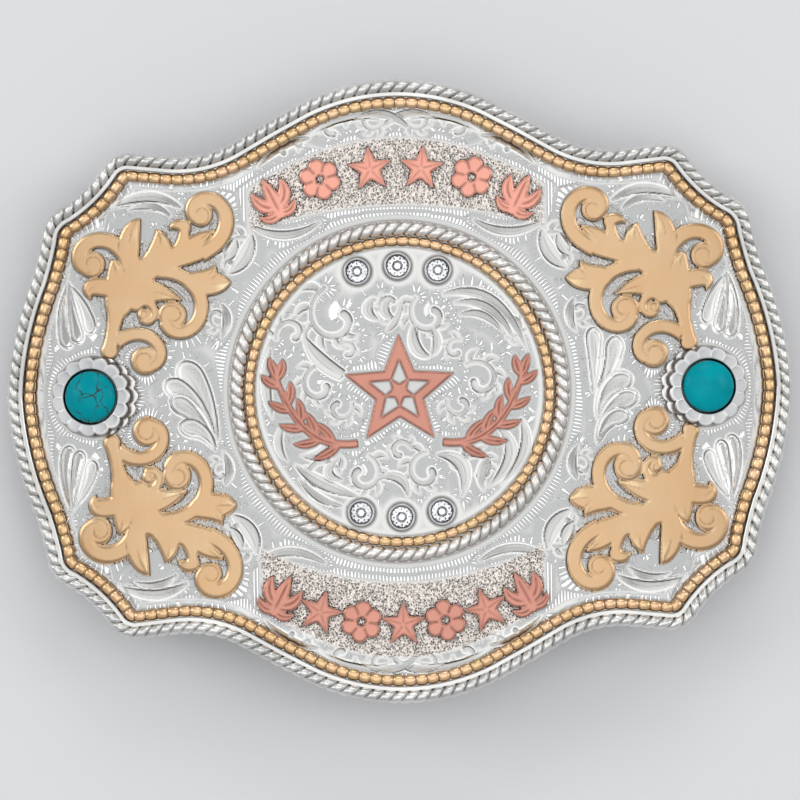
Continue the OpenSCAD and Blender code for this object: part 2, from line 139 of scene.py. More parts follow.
class BuckleColours(bpy.types.PropertyGroup):
    """Colours of the metals, the stones and the floor."""

    silver: FloatVectorProperty(
        name="Silver", description="Bright engraved silver", default=(0.93, 0.925, 0.90),
        min=0, max=1, subtype="COLOR")
    aged: FloatVectorProperty(
        name="Aged silver", description="Satin silver of the ring rope, the collars and the back",
        default=(0.66, 0.66, 0.65), min=0, max=1, subtype="COLOR")
    bronze: FloatVectorProperty(
        name="Bronze", description="Jeweller's bronze of the overlays", default=(0.69, 0.475, 0.285),
        min=0, max=1, subtype="COLOR")
    gold: FloatVectorProperty(
        name="Bead bronze", description="Bronze of the bead rows", default=(0.93, 0.68, 0.38),
        min=0, max=1, subtype="COLOR")
    copper: FloatVectorProperty(
        name="Copper", description="Copper of the applied pieces", default=(0.70, 0.325, 0.25),
        min=0, max=1, subtype="COLOR")
    oxide_and_shade: FloatVectorProperty(
        name="Oxide and shade", description="Dark finish left in the copper's cuts", default=(0.14, 0.045, 0.03),
        min=0, max=1, subtype="COLOR")
    turquoise: FloatVectorProperty(
        name="Turquoise", description="Body colour of the round stones", default=(0.0, 0.31, 0.37),
        min=0, max=1, subtype="COLOR")
    floor: FloatVectorProperty(
        name="Floor", description="Plain floor under the buckle", default=(0.82, 0.82, 0.83),
        min=0, max=1, subtype="COLOR")


# Shapes


def lift(x, h=0.0):
    """Height of the bent face: the axis height plus the root of (bend radius + h) squared less x squared."""
    return AXIS_Z + np.sqrt((BEND + h) ** 2 - np.square(x))


def over_face(x, y, h):
    """Points above plan position x, y at a distance h from the bent face."""
    return np.stack([x, y, lift(x, h)], axis=-1)


def on_face(points, x, y):
    """Points of a piece that stands square to the face at x, y: turned about Y by the bend angle and moved there."""
    lean = math.asin(x / BEND)
    px, py, pz = points[..., 0], points[..., 1], points[..., 2] + BEND + SEAT
    return np.stack([px * math.cos(lean) + pz * math.sin(lean), py + y,
                     pz * math.cos(lean) - px * math.sin(lean) + AXIS_Z], axis=-1)


def unit(v):
    """Vectors over their own lengths."""
    return v / np.maximum(np.linalg.norm(v, axis=-1, keepdims=True), 1e-9)


def smooth(a, b, v):
    """0 below a, 1 above b, and 3t^2 - 2t^3 between."""
    t = np.clip((v - a) / (b - a), 0, 1)
    return t * t * (3 - 2 * t)


# The outline's right upper quarter as arcs: end x, end y, radius, which is negative where the arc is hollow
OUTLINE_ARCS = [
    (13.6, HALF_H - 3.1, 31.4), (23.6, HALF_H - 8.6, 200), (33, HALF_H - 10.4, -15.6),
    (38.4, HALF_H - 9.8, -200), (42.4, HALF_H - 11.8, 4.4), (48.3, HALF_H - 17.4, -20),
    (51.6, HALF_H - 22.1, 5.4), (HALF_W - 3.9, 17.3, -60), (HALF_W, 0, 50)]


def outline_quarter(step):
    """Arcs laid end to end: each turns about a centre on the chord's normal, in steps of so many degrees."""
    points, p = [np.array([[0.0, HALF_H]])], np.array([0.0, HALF_H])
    for end_x, end_y, radius in OUTLINE_ARCS:
        q = np.array([end_x, end_y], float)
        d = q - p
        half = np.linalg.norm(d) / 2
        left = np.array([-d[1], d[0]]) / (2 * half)
        c = (p + q) / 2 - np.sign(radius) * math.sqrt(radius * radius - half * half) * left
        a0 = math.atan2(p[1] - c[1], p[0] - c[0])
        sweep = -np.sign(radius) * 2 * math.asin(half / abs(radius))
        n = max(1, math.ceil(abs(math.degrees(sweep)) / step))
        a = a0 + sweep * np.arange(1, n + 1) / n
        points.append(c + abs(radius) * np.stack([np.cos(a), np.sin(a)], axis=-1))
        p = q
    return np.concatenate(points)


def outline(step=2.0):
    """The quarter and its three mirrored copies as one closed path, clockwise from the top."""
    q = outline_quarter(step)
    right = np.concatenate([q, q[-2::-1] * [1, -1]])
    return np.concatenate([right, right[-2:0:-1] * [-1, 1]])


def inward(path, d):
    """A closed clockwise path moved towards its inside by d along its normals."""
    t = unit(np.roll(path, -1, axis=0) - np.roll(path, 1, axis=0))
    return path + d * np.stack([t[:, 1], -t[:, 0]], axis=-1)


def lengths(path):
    """Length of an open path up to each of its points: the running sum of its steps."""
    return np.concatenate([[0], np.cumsum(np.linalg.norm(np.diff(path, axis=0), axis=1))])


def evenly(path, count, steps=None):
    """A closed path cut into so many equal steps, at each step or at the given numbers of steps."""
    closed = np.concatenate([path, path[:1]])
    s = lengths(closed)
    at = s[-1] * (np.arange(count) if steps is None else steps) / count
    return np.stack([np.interp(at, s, closed[:, 0]), np.interp(at, s, closed[:, 1])], axis=-1)


def circle(radius, count=720):
    """A closed circle, clockwise from the top."""
    a = 2 * np.pi * np.arange(count) / count
    return radius * np.stack([np.sin(a), np.cos(a)], axis=-1)


def grid_quads(rows, cols, wrap_rows=False, wrap_cols=False):
    """Corner numbers of the four-sided faces of a grid of rows by columns."""
    i = np.arange(rows if wrap_rows else rows - 1)[:, None]
    j = np.arange(cols if wrap_cols else cols - 1)[None, :]
    i2, j2 = (i + 1) % rows, (j + 1) % cols
    return np.stack([i * cols + j, i * cols + j2, i2 * cols + j2, i2 * cols + j], axis=-1).reshape(-1, 4)


def pole_fans(rows, turns):
    """Corner numbers of the triangles from the first and the last row of a closed grid to a pole each, which are the
    two points after the grid."""
    k, end = np.arange(turns), (rows - 1) * turns
    after = (k + 1) % turns
    return np.concatenate([np.stack([np.full(turns, rows * turns), after, k], axis=-1),
                           np.stack([np.full(turns, rows * turns + 1), end + k, end + after], axis=-1)])


def carried(path, height, section):
    """A closed wire: section offsets (side, over) at each station of a plan path whose axis is height over the face."""
    mid = over_face(path[:, 0], path[:, 1], height)
    t = unit(np.roll(mid, -1, axis=0) - np.roll(mid, 1, axis=0))
    up = unit(np.stack([mid[:, 0], np.zeros(len(mid)), mid[:, 2] - AXIS_Z], axis=-1))
    side = unit(np.cross(t, up))
    over = np.cross(side, t)
    return mid[:, None] + section[..., :1] * side[:, None] + section[..., 1:] * over[:, None]


def stroke_field(x, y, path, width):
    """Signed distance to a tapered stroke, negative inside, with the side distance, the length along it, which goes on
    round its ends as an arc, and the half width there. It is the least over the stroke's straight parts."""
    a, b = path[:-1], path[1:]
    ab = b - a
    size = np.linalg.norm(ab, axis=1)
    s0 = lengths(path)[:-1]
    px, py = x[:, None] - a[None, :, 0], y[:, None] - a[None, :, 1]
    t = (px * ab[:, 0] + py * ab[:, 1]) / size**2
    side = (py * ab[:, 0] - px * ab[:, 1]) / size
    past = np.zeros_like(t)
    past[:, 0] = np.maximum(-t[:, 0], 0) * size[0]
    past[:, -1] = np.maximum(past[:, -1], np.maximum(t[:, -1] - 1, 0) * size[-1])
    held = np.clip(t, 0, 1)
    half = (width[:-1] + (width[1:] - width[:-1]) * held) / 2
    away = np.abs(t - held) * size
    f = np.where(past > 0, np.hypot(np.maximum(np.abs(side) - half, 0), past), np.hypot(side, away) - half)
    k = np.argmin(f, axis=1)
    row = np.arange(len(x))
    side, past, half, held = side[row, k], past[row, k], np.maximum(half[row, k], 0.02), held[row, k]
    round_end = np.arctan2(past, np.abs(side)) * (half + END_ARC) * np.where(held > 0.5, 1, -1)
    return f[row, k], side, s0[k] + held * size[k] + round_end, half


def quadratic(row, u):
    """Points at shares u of the curve (1-u)^2 start + 2u(1-u) bend + u^2 end, whose x, y pairs begin the row."""
    start, bend, end = (np.array(row[k:k + 2]) for k in (0, 2, 4))
    u = np.asarray(u)[..., None]
    return (1 - u) ** 2 * start + 2 * u * (1 - u) * bend + u * u * end


def blade_path(b, n=14):
    """A blade's middle line, a quadratic curve, and its width, a quadratic through its three widths."""
    u = np.linspace(0, 1, n)
    w = (1 - u) ** 2 * b[6] + 2 * u * (1 - u) * (2 * b[7] - (b[6] + b[8]) / 2) + u * u * b[8]
    return quadratic(b, u), np.maximum(w, 0.0)


def lobe_path(b, n=26):
    """A lobe's middle line, as for a blade from its foot, and its width, which grows to a head closed in a half
    circle."""
    p = quadratic(b, 1 - (1 - np.linspace(0, 1, n)) ** 1.5)
    s = lengths(p)
    r = b[6] / 2
    neck = s[-1] - r
    head = np.sqrt(np.maximum(1 - ((s - neck) / r) ** 2, 0))
    return p, b[6] * np.where(s < neck, 0.08 + 0.92 * np.clip(s / neck, 0, 1) ** 0.75, head)


def curl_path(c, step=9.0):
    """A curl's middle line, a spiral whose radius and angle run together round its eye, and its width."""
    eye_x, eye_y, start, sweep, r0, r1, w0, w1, ease = c
    u = np.linspace(0, 1, max(6, math.ceil(abs(sweep) / step)))
    a = np.radians(start + sweep * u)
    r = r0 + (r1 - r0) * u**ease
    return np.stack([eye_x + r * np.cos(a), eye_y + r * np.sin(a)], axis=-1), w0 + (w1 - w0) * u


def engraved_scroll(row):
    """A scroll cut as a spiral stem with leaves: each leaf leaves the stem's outer side, bends outward and
    reaches on in the direction of growth, and is smaller nearer the eye."""
    eye_x, eye_y, start, sweep, r0, r1, width, leaves, size = row
    stem, wide = curl_path((eye_x, eye_y, start, sweep, r0, r1, width * 0.35, width, 1.0))
    way = 1 if sweep > 0 else -1
    made = [(stem, wide, -way)]
    for k in range(leaves):
        u = (k + 0.35) / leaves * 0.72
        a = math.radians(start + sweep * u)
        r = r0 + (r1 - r0) * u
        out = np.array([math.cos(a), math.sin(a)])
        on = way * np.array([-out[1], out[0]])
        reach = size * (1 - 0.5 * u)
        foot = np.array([eye_x, eye_y]) + r * out
        bend = foot + reach * (0.62 * out - 0.02 * on)
        tip = foot + reach * (0.62 * out + 0.78 * on)
        made.append((*blade_path((*foot, *bend, *tip, 0.3, 0.34 * reach, 0.0), 9), way))
    return made


def turned(p, degrees):
    """Plan points turned about the centre."""
    c, s = math.cos(math.radians(degrees)), math.sin(math.radians(degrees))
    return np.stack([p[..., 0] * c - p[..., 1] * s, p[..., 0] * s + p[..., 1] * c], axis=-1)


def turned_in_plan(p, degrees):
    """Points turned about the upright axis."""
    return np.concatenate([turned(p[..., :2], degrees), p[..., 2:]], axis=-1)


def polygon_field(x, y, corners):
    """Signed distance to a polygon, negative where an odd number of its sides is crossed on the way out, and
    the length along its sides of the nearest point."""
    best, along, inside = np.full(x.shape, 1e9), np.zeros(x.shape), np.zeros(x.shape, bool)
    so_far = 0.0
    for a, b in zip(corners, np.roll(corners, -1, axis=0)):
        d = b - a
        size = math.hypot(d[0], d[1])
        t = np.clip(((x - a[0]) * d[0] + (y - a[1]) * d[1]) / size**2, 0, 1)
        away = np.hypot(x - a[0] - t * d[0], y - a[1] - t * d[1])
        along = np.where(away < best, so_far + t * size, along)
        best = np.minimum(best, away)
        so_far += size
        crosses = (a[1] > y) != (b[1] > y)
        inside ^= crosses & (x < a[0] + (y - a[1]) * d[0] / (d[1] if abs(d[1]) > 1e-9 else 1e-9))
    return np.where(inside, -best, best), along


def soft_min(a, b, k):
    """The smaller of two distances, rounded over a width k where they are close."""
    h = np.clip(0.5 + 0.5 * (b - a) / k, 0, 1)
    return b + (a - b) * h - k * h * (1 - h)


# Engraving of the right upper quarter, which the other quarters mirror. A leaf is a blade whose deep edge is
# on its left (1) or right (-1): start x, y, bend x, y, end x, y, start, middle and end width, deep edge
QUARTER_LEAVES = [
    (31.2, 27.2, 35.6, 30.2, 41.2, 27.4, 0.3, 1.3, 0.0, -1),
    (32.8, 26.0, 35.4, 28.4, 38.9, 26.9, 0.2, 0.9, 0.0, -1),
    (21.0, 23.0, 21.2, 19.4, 24.4, 17.5, 0.3, 2.0, 0.2, -1),
    (23.3, 22.4, 23.2, 20.2, 25.2, 19.2, 0.2, 1.1, 0.0, -1),
    (11.2, 24.6, 15.8, 21.4, 20.8, 24.1, 0.2, 1.1, 0.3, 1),
    (25.5, 13.0, 23.9, 10.8, 25.7, 8.2, 0.2, 1.1, 0.0, 1),
    (2.2, 39.3, 6.6, 41.2, 12.0, 37.3, 0.2, 1.1, 0.0, -1),
    (-1.8, 38.2, 1.8, 41.6, 6.4, 39.0, 0.3, 1.1, 0.0, 1),
    (12.4, 36.8, 16.4, 36.5, 20.0, 32.7, 0.2, 1.0, 0.0, 1)]

# Lobes cut over each other beside the turquoise settings: foot x, y, bend x, y, head x, y, head width, deep edge
SIDE_LOBES = [
    (-26.5, -6.7, -28.2, 1.2, -31.2, 4.0, 3.6, -1), (-26.7, -6.6, -29.2, 0.2, -33.4, 1.5, 2.8, -1),
    (-26.7, -6.8, -29.0, -2.3, -32.6, -0.7, 3.0, 1), (-26.8, -8.0, -28.3, -4.6, -31.4, -4.7, 2.7, -1),
    (28.7, -0.1, 31.0, 2.6, 31.4, 6.9, 2.6, 1), (28.0, -0.5, 28.4, 3.6, 28.2, 8.3, 2.3, 1),
    (28.6, -4.4, 29.2, 0.9, 33.1, 1.3, 3.0, -1), (28.9, -4.6, 30.6, -1.8, 33.9, -1.2, 2.9, -1),
    (28.6, -8.0, 29.2, -3.9, 32.7, -3.9, 2.6, -1)]

# Lobes of the right upper quarter, as above
QUARTER_LOBES = [
    (47.7, 16.6, 49.4, 11.2, 47.9, 7.5, 2.0, 1), (47.6, 16.2, 45.0, 13.0, 44.7, 9.6, 1.8, -1),
    (47.7, 16.4, 47.4, 12.2, 46.4, 8.2, 1.8, 1)]

# Engraved leaves of the middle field, as above
MIDDLE_LEAVES = [
    (-13.6, 8.2, -12.3, 4.6, -8.2, 2.5, 0.2, 1.9, 1.5, 1),
    (-3.4, 13.5, -5.6, 11.6, -2.9, 10.4, 0.4, 1.3, 0.2, 1),
    (-1.0, 13.5, -3.2, 11.6, -0.5, 10.4, 0.4, 1.3, 0.2, 1),
    (2.2, 9.6, 1.6, 5.6, 4.3, 5.0, 0.3, 1.5, 0.4, 1),
    (4.9, 9.2, 6.3, 6.6, 4.6, 5.0, 0.3, 1.1, 0.0, -1),
    (6.6, 13.9, 14.6, 16.2, 18.6, 5.4, 0.3, 1.3, 0.0, 1),
    (8.2, 12.6, 13.8, 13.8, 16.8, 6.8, 0.2, 1.1, 0.0, 1),
    (9.0, 10.9, 12.4, 12.0, 15.0, 8.4, 0.2, 0.9, 0.0, 1),
    (17.4, -4.2, 19.9, -9.0, 14.4, -13.6, 0.3, 1.5, 0.0, -1),
    (14.4, -5.6, 18.2, -9.4, 12.6, -14.0, 0.4, 1.7, 0.0, -1),
    (13.0, -9.4, 10.9, -11.6, 11.9, -14.6, 0.2, 1.3, 0.0, 1),
    (-10.2, -6.2, -10.2, -9.8, -14.4, -9.0, 0.3, 1.6, 0.0, 1),
    (-15.2, -10.4, -11.6, -13.6, -6.2, -15.0, 0.2, 1.6, 0.2, -1),
    (-14.6, -12.4, -12.0, -16.0, -8.2, -16.4, 0.2, 1.0, 0.0, -1),
    (-3.2, -12.4, 0.6, -11.4, 1.0, -14.9, 0.3, 1.3, 0.3, -1),
    (5.4, -9.2, 10.6, -9.4, 8.8, -15.2, 0.3, 1.8, 0.2, -1),
    (-9.0, -9.6, -12.0, -12.0, -8.6, -12.6, 0.2, 1.2, 0.2, 1),
    (-18.6, 6.4, -20.0, 1.4, -18.4, -3.6, 0.2, 1.3, 0.0, 1),
    (-1.6, 8.8, 0.2, 10.2, 0.6, 13.0, 0.2, 0.8, 0.0, -1),
    (-16.8, -4.6, -18.6, -7.4, -16.4, -9.8, 0.2, 1.0, 0.0, 1)]
# Engraved scrolls of the middle field: eye x, y, start angle, sweep, start radius, end radius, stem width,
# number of leaves and the size of the first one
MIDDLE_SCROLLS = [
    (-8.7, 10.8, 112, 285, 4.7, 0.9, 1.1, 6, 3.0), (4.6, 11.0, 128, 285, 3.2, 0.8, 1.0, 5, 2.3),
    (-5.6, -11.9, 70, -300, 2.9, 0.7, 1.0, 5, 2.2), (3.7, -11.7, 88, 290, 2.9, 0.7, 1.0, 5, 2.3),
    (-11.6, -12.2, 12, 270, 2.8, 0.8, 1.0, 5, 2.1), (11.2, -11.4, 190, -280, 2.7, 0.8, 1.0, 5, 2.2),
    (-11.4, 1.0, 60, 300, 3.2, 0.8, 1.0, 5, 2.2), (11.6, 1.4, 130, -300, 3.0, 0.8, 1.0, 5, 2.2),
    (-15.4, 8.6, 200, -260, 2.4, 0.7, 0.9, 4, 1.8), (16.2, 9.4, 250, 240, 1.9, 0.6, 0.8, 3, 1.6),
    (-1.2, 12.6, 290, -250, 1.9, 0.6, 0.8, 3, 1.5), (0.0, -8.6, 10, 250, 1.7, 0.6, 0.8, 3, 1.4),
    (-8.7, -2.2, 20, -270, 2.0, 0.6, 0.8, 4, 1.7), (8.7, -2.0, 160, 270, 2.0, 0.6, 0.8, 4, 1.7),
    (8.2, 5.9, 60, 250, 1.6, 0.5, 0.7, 3, 1.4), (-7.4, 6.0, 150, -250, 1.4, 0.5, 0.7, 3, 1.3)]
# Engraved scrolls of the right upper quarter, as above
QUARTER_SCROLLS = [
    (22.9, 20.2, 118, -290, 2.6, 0.7, 1.0, 5, 2.0), (8.9, 38.0, 170, -270, 1.9, 0.6, 0.8, 4, 1.6),
    (3.4, 39.4, 210, 250, 1.7, 0.6, 0.8, 4, 1.5),
    (15.6, 35.2, 190, -240, 1.6, 0.6, 0.7, 3, 1.3), (26.1, 11.2, 260, 230, 1.5, 0.5, 0.7, 3, 1.4)]

# The scroll overlay's curls: eye x, y, eye radius, start angle, sweep, start radius, end radius, widths, easing
CURLS = [
    (43.9, 19.4, 1.9, 180, -226, 5.5, 0.7, 2.4, 1.9, 0.85),
    (27.8, 26.0, 1.7, 272, -292, 5.8, 0.8, 2.2, 1.9, 0.68),
    (32.4, 11.6, 2.0, 74, 240, 6.7, 1.4, 2.0, 1.9, 0.87),
    (36.5, 11.8, 0.9, 100, 190, 1.9, 0.8, 1.3, 0.9, 1.0),
    (36.6, 5.2, 2.0, 34, 178, 5.0, 1.4, 2.0, 1.6, 0.9)]
# Its blades: start x, y, bend x, y, end x, y, start, middle and end width, and how far its tip folds up
BLADES = [
    (41.75, 6.75, 41.1, 10.0, 40.2, 14.0, 2.3, 1.9, 3.6, 0.0),
    (40.2, 12.8, 40.0, 17.4, 34.6, 18.8, 3.4, 4.6, 3.0, 0.0),
    (39.0, 15.0, 35.4, 15.9, 30.9, 13.7, 4.4, 3.1, 0.0, 1.0),
    (38.0, 13.4, 36.4, 14.4, 35.2, 13.2, 2.4, 1.6, 0.8, 0.0),
    (35.5, 19.2, 31.5, 20.2, 28.0, 20.4, 3.2, 3.2, 2.0, 0.0),
    (31.0, 20.8, 30.0, 23.0, 30.4, 24.7, 2.4, 1.6, 1.5, 0.0),
    (30.0, 24.2, 31.4, 25.2, 32.4, 24.0, 1.8, 1.3, 0.0, 0.6),
    (29.9, 21.2, 28.2, 22.4, 25.9, 23.7, 2.0, 1.9, 0.0, 0.8),
    (34.4, 19.2, 33.1, 22.2, 34.3, 24.1, 4.0, 2.6, 0.0, 1.0),
    (38.3, 18.2, 39.0, 23.8, 36.6, 25.8, 2.3, 2.9, 0.0, 0.8),
    (29.6, 16.4, 26.6, 15.8, 23.8, 16.1, 2.4, 3.4, 0.0, 1.0),
    (28.4, 16.8, 26.6, 17.0, 25.9, 18.6, 1.6, 1.6, 0.0, 0.5),
    (41.2, 15.8, 45.4, 17.0, 44.2, 14.3, 2.6, 2.2, 0.0, 0.6),
    (40.3, 15.8, 40.3, 18.6, 40.9, 20.0, 3.2, 2.2, 0.0, 0.8)]
# How each overlay sits: side, top or bottom, shift x, shift y, turn in degrees about the overlay's middle
SCROLL_PLACES = {
    "scroll_upper_left": (-1, 1, 0.3, -0.1, -1), "scroll_upper_right": (1, 1, 0.5, -0.3, -1),
    "scroll_lower_left": (-1, -1, 0.0, 0.0, 0), "scroll_lower_right": (1, -1, 0.5, -0.3, -1)}
SCROLL_MID = np.array([36.0, 16.0])


def scroll_frame(x, y, place):
    """Plan points taken back from an overlay's place to the frame that its tables are written in."""
    side, top, shift_x, shift_y, turn = place
    p = np.stack([x * side, y * top], axis=-1) - SCROLL_MID - [shift_x, shift_y]
    p = turned(p, -turn) + SCROLL_MID
    return p[..., 0], p[..., 1]


def scroll_strokes():
    """Every stroke of the overlay as (middle line, width, fold, is it a curl)."""
    made = [(*curl_path((c[0], c[1], *c[3:])), 0.0, True) for c in CURLS]
    return made + [(*blade_path(b), b[9], False) for b in BLADES]


def scroll_discs():
    """The overlay's round parts: each curl's eye and the foot of the first blade."""
    return [(c[0], c[1], c[2]) for c in CURLS] + [(BLADES[0][0], BLADES[0][1], BLADES[0][6] / 2)]


def scroll_field(x, y):
    """The overlay's signed distance, the strokes' own ones joined softly, and its groove lines and folds."""
    shape = x.shape
    x, y = x.ravel(), y.ravel()
    f, groove, fold = np.full(x.shape, FAR), np.zeros(x.shape), np.zeros(x.shape)
    for path, width, folded, is_curl in scroll_strokes():
        g, side, along, half = stroke_field(x, y, path, width)
        run, v = along / lengths(path)[-1], side / half
        inside = smooth(0.02, -0.12, g)
        if is_curl:
            line = np.exp(-((v - 0.62) ** 2) / 0.006) * smooth(0.55, 0.8, run)
            groove = np.maximum(groove, 0.25 * inside * line)
        else:
            vein = np.exp(-(side / 0.07) ** 2) * smooth(0.45, 0.6, run) * smooth(0.98, 0.8, run)
            groove = np.maximum(groove, 0.3 * inside * vein * (folded > 0))
            fold = np.maximum(fold, folded * inside * smooth(0.5, 0.75, run) * smooth(-0.2, 0.3, v))
            edge = np.exp(-(g / 0.06) ** 2) * smooth(-0.25, -0.55, f) * smooth(0.3, 0.5, run)
            groove = np.maximum(groove, 0.5 * edge * (folded > 0))
        f = soft_min(f, g, 0.3)
    for (cx, cy, r), curl in zip(scroll_discs(), CURLS + [None]):
        d = np.hypot(x - cx, y - cy)
        if curl:
            end = math.radians(curl[3] + curl[4])
            a = (np.sign(curl[4]) * (np.arctan2(y - cy, x - cx) - end)) % (2 * np.pi)
            spiral = np.exp(-((d - r * (0.95 - 0.10 * a)) / 0.07) ** 2)
            groove = np.maximum(groove, 0.5 * spiral * smooth(0.2, 0.6, a) * smooth(6.2, 4.8, a))
        f = soft_min(f, d - r, 0.2)
    return [a.reshape(shape) for a in (f, groove, fold)]


# The middle star: radius to its tips, its hollows' share of it, and the width of its band
STAR_R, STAR_IN, STAR_BAND = 8.3, 0.44, 1.4


def star_corners(r, inner, tips=5, turn=0.0):
    """Corners of a star whose points are r and whose hollows are inner from the middle."""
    a = np.pi * np.arange(2 * tips) / tips + math.radians(turn)
    reach = np.where(np.arange(2 * tips) % 2 == 0, r, inner)
    return np.stack([reach * np.sin(a), reach * np.cos(a)], axis=-1)


def star_field(x, y):
    """The middle star: a star-shaped band and a smaller star turned over inside it."""
    edge = STAR_R * STAR_IN * math.sin(math.pi / 5) / math.hypot(
        1 - STAR_IN * math.cos(math.pi / 5), STAR_IN * math.sin(math.pi / 5))
    hole = STAR_R * (1 - STAR_BAND / edge)
    band = np.maximum(polygon_field(x, y, star_corners(STAR_R, STAR_R * STAR_IN))[0],
                      -polygon_field(x, y, star_corners(hole, hole * STAR_IN))[0])
    small = polygon_field(x, y, star_corners(hole * STAR_IN + 0.4, 1.1, turn=180))[0]
    return np.minimum(band, small)


def ridge_lines(x, y, width, count):
    """1 on straight lines out from the middle, one to each point and hollow of a star, and 0 off them."""
    a = np.arctan2(x, y)
    step = 2 * np.pi / count
    off = (a + step / 2) % step - step / 2
    return np.exp(-(np.hypot(x, y) * off / width) ** 2)


# The laurels' stem, as a blade of the overlay without its fold
LAUREL_STEM = (6.2, -7.4, 14.6, -8.6, 17.9, 2.6, 1.1, 1.0, 0.7)


def laurel_strokes():
    """The stem, five pairs of leaves that shrink towards its tip, and the leaf at the tip."""
    strokes = [blade_path(LAUREL_STEM, 16)]
    spots = [(0.16 + 0.19 * k + (0.05 if turn > 0 else 0), turn, 4.4 - 0.3 * k)
             for k in range(5) for turn in (-34, 34)]
    for u, turn, size in spots + [(0.97, 0, 3.4)]:
        before, foot, after = quadratic(LAUREL_STEM, [u - 0.02, u, u + 0.02])
        way = math.degrees(math.atan2(*(after - before)[::-1]))
        p, w = blade_path((0, 0, size * 0.55, np.sign(turn) * size * 0.16, size, 0, 0.5, 1.25, 0.0), 9)
        strokes.append((turned(p, way + turn) + foot, w))
    return strokes


def strokes_field(x, y, strokes, blend):
    """Signed distance to several strokes together, and the veins along their middles."""
    shape = x.shape
    x, y = x.ravel(), y.ravel()
    f, vein = np.full(x.shape, FAR), np.zeros(x.shape)
    for path, width in strokes:
        g, side, along, _ = stroke_field(x, y, path, width)
        run = along / lengths(path)[-1]
        line = np.exp(-(side / 0.13) ** 2) * smooth(0.05, -0.1, g)
        vein = np.maximum(vein, line * smooth(0.12, 0.3, run) * smooth(0.95, 0.7, run))
        f = soft_min(f, g, blend)
    return f.reshape(shape), vein.reshape(shape)


# The sprig's five blades, as above
SPRIG = [(0, -3.1, 0, 0, 0, 3.3, 0.8, 2.0, 0.0)] + [
    (0, -1.4, s * 2.6, -0.6, s * 2.3, 2.2, 1.0, 1.8, 0.0) for s in (-1, 1)] + [
    (0, -2.2, s * 1.8, -3.2, s * 2.9, -1.4, 1.0, 1.3, 0.0) for s in (-1, 1)]


def motif_field(kind, x, y):
    """Signed distance and grooves of a small applied piece about its own middle: a star with a line to each tip, a
    rosette of six discs round a hole with a line between neighbours, or a sprig of blades with their veins."""
    r = np.hypot(x, y)
    if kind == "star":
        return polygon_field(x, y, star_corners(3.3, 1.45))[0], 0.6 * ridge_lines(x, y, 0.12, 5) * (r > 0.3)
    if kind == "rosette":
        f = r - 1.7
        for i in range(6):
            c = turned(np.array([0.0, 1.85]), 60 * i)
            f = np.minimum(f, np.hypot(x - c[0], y - c[1]) - 1.12)
        a = (np.arctan2(x, y) + np.pi / 6) % (np.pi / 3) - np.pi / 6
        marks = np.exp(-((np.abs(a) - np.pi / 6) * r / 0.14) ** 2) * smooth(0.9, 1.2, r)
        return np.maximum(f, 0.62 - r), marks
    return strokes_field(x, y, [blade_path(b, 9) for b in SPRIG], 0.12)


# The two rows of small pieces: their kinds, the radius of their arc, its farthest height and the angle of a step
TOP_ROW = ("sprig", "rosette", "star", "star", "rosette", "sprig")
LOW_ROW = ("sprig", "star", "rosette", "star", "rosette", "star", "sprig")
TOP_ARC_R, TOP_ARC_Y, TOP_STEP = 40.0, 32.3, 10.6
LOW_ARC_R, LOW_ARC_Y, LOW_STEP = 38.0, 33.6, 9.2


def row_places():
    """Name, kind, middle and turn of each small piece of the two rows, at even angles along their arcs."""
    places = []
    for name, side, row, arc_r, arc_y, step in (("top", 1, TOP_ROW, TOP_ARC_R, TOP_ARC_Y, TOP_STEP),
                                                ("low", -1, LOW_ROW, LOW_ARC_R, LOW_ARC_Y, LOW_STEP)):
        for i, kind in enumerate(row):
            a = math.radians((i - (len(row) - 1) / 2) * step)
            places.append((f"{name}_motif_{i + 1}", kind, arc_r * math.sin(a),
                           side * (arc_y - arc_r + arc_r * math.cos(a)), -side * math.degrees(a)))
    return places


# Meshes


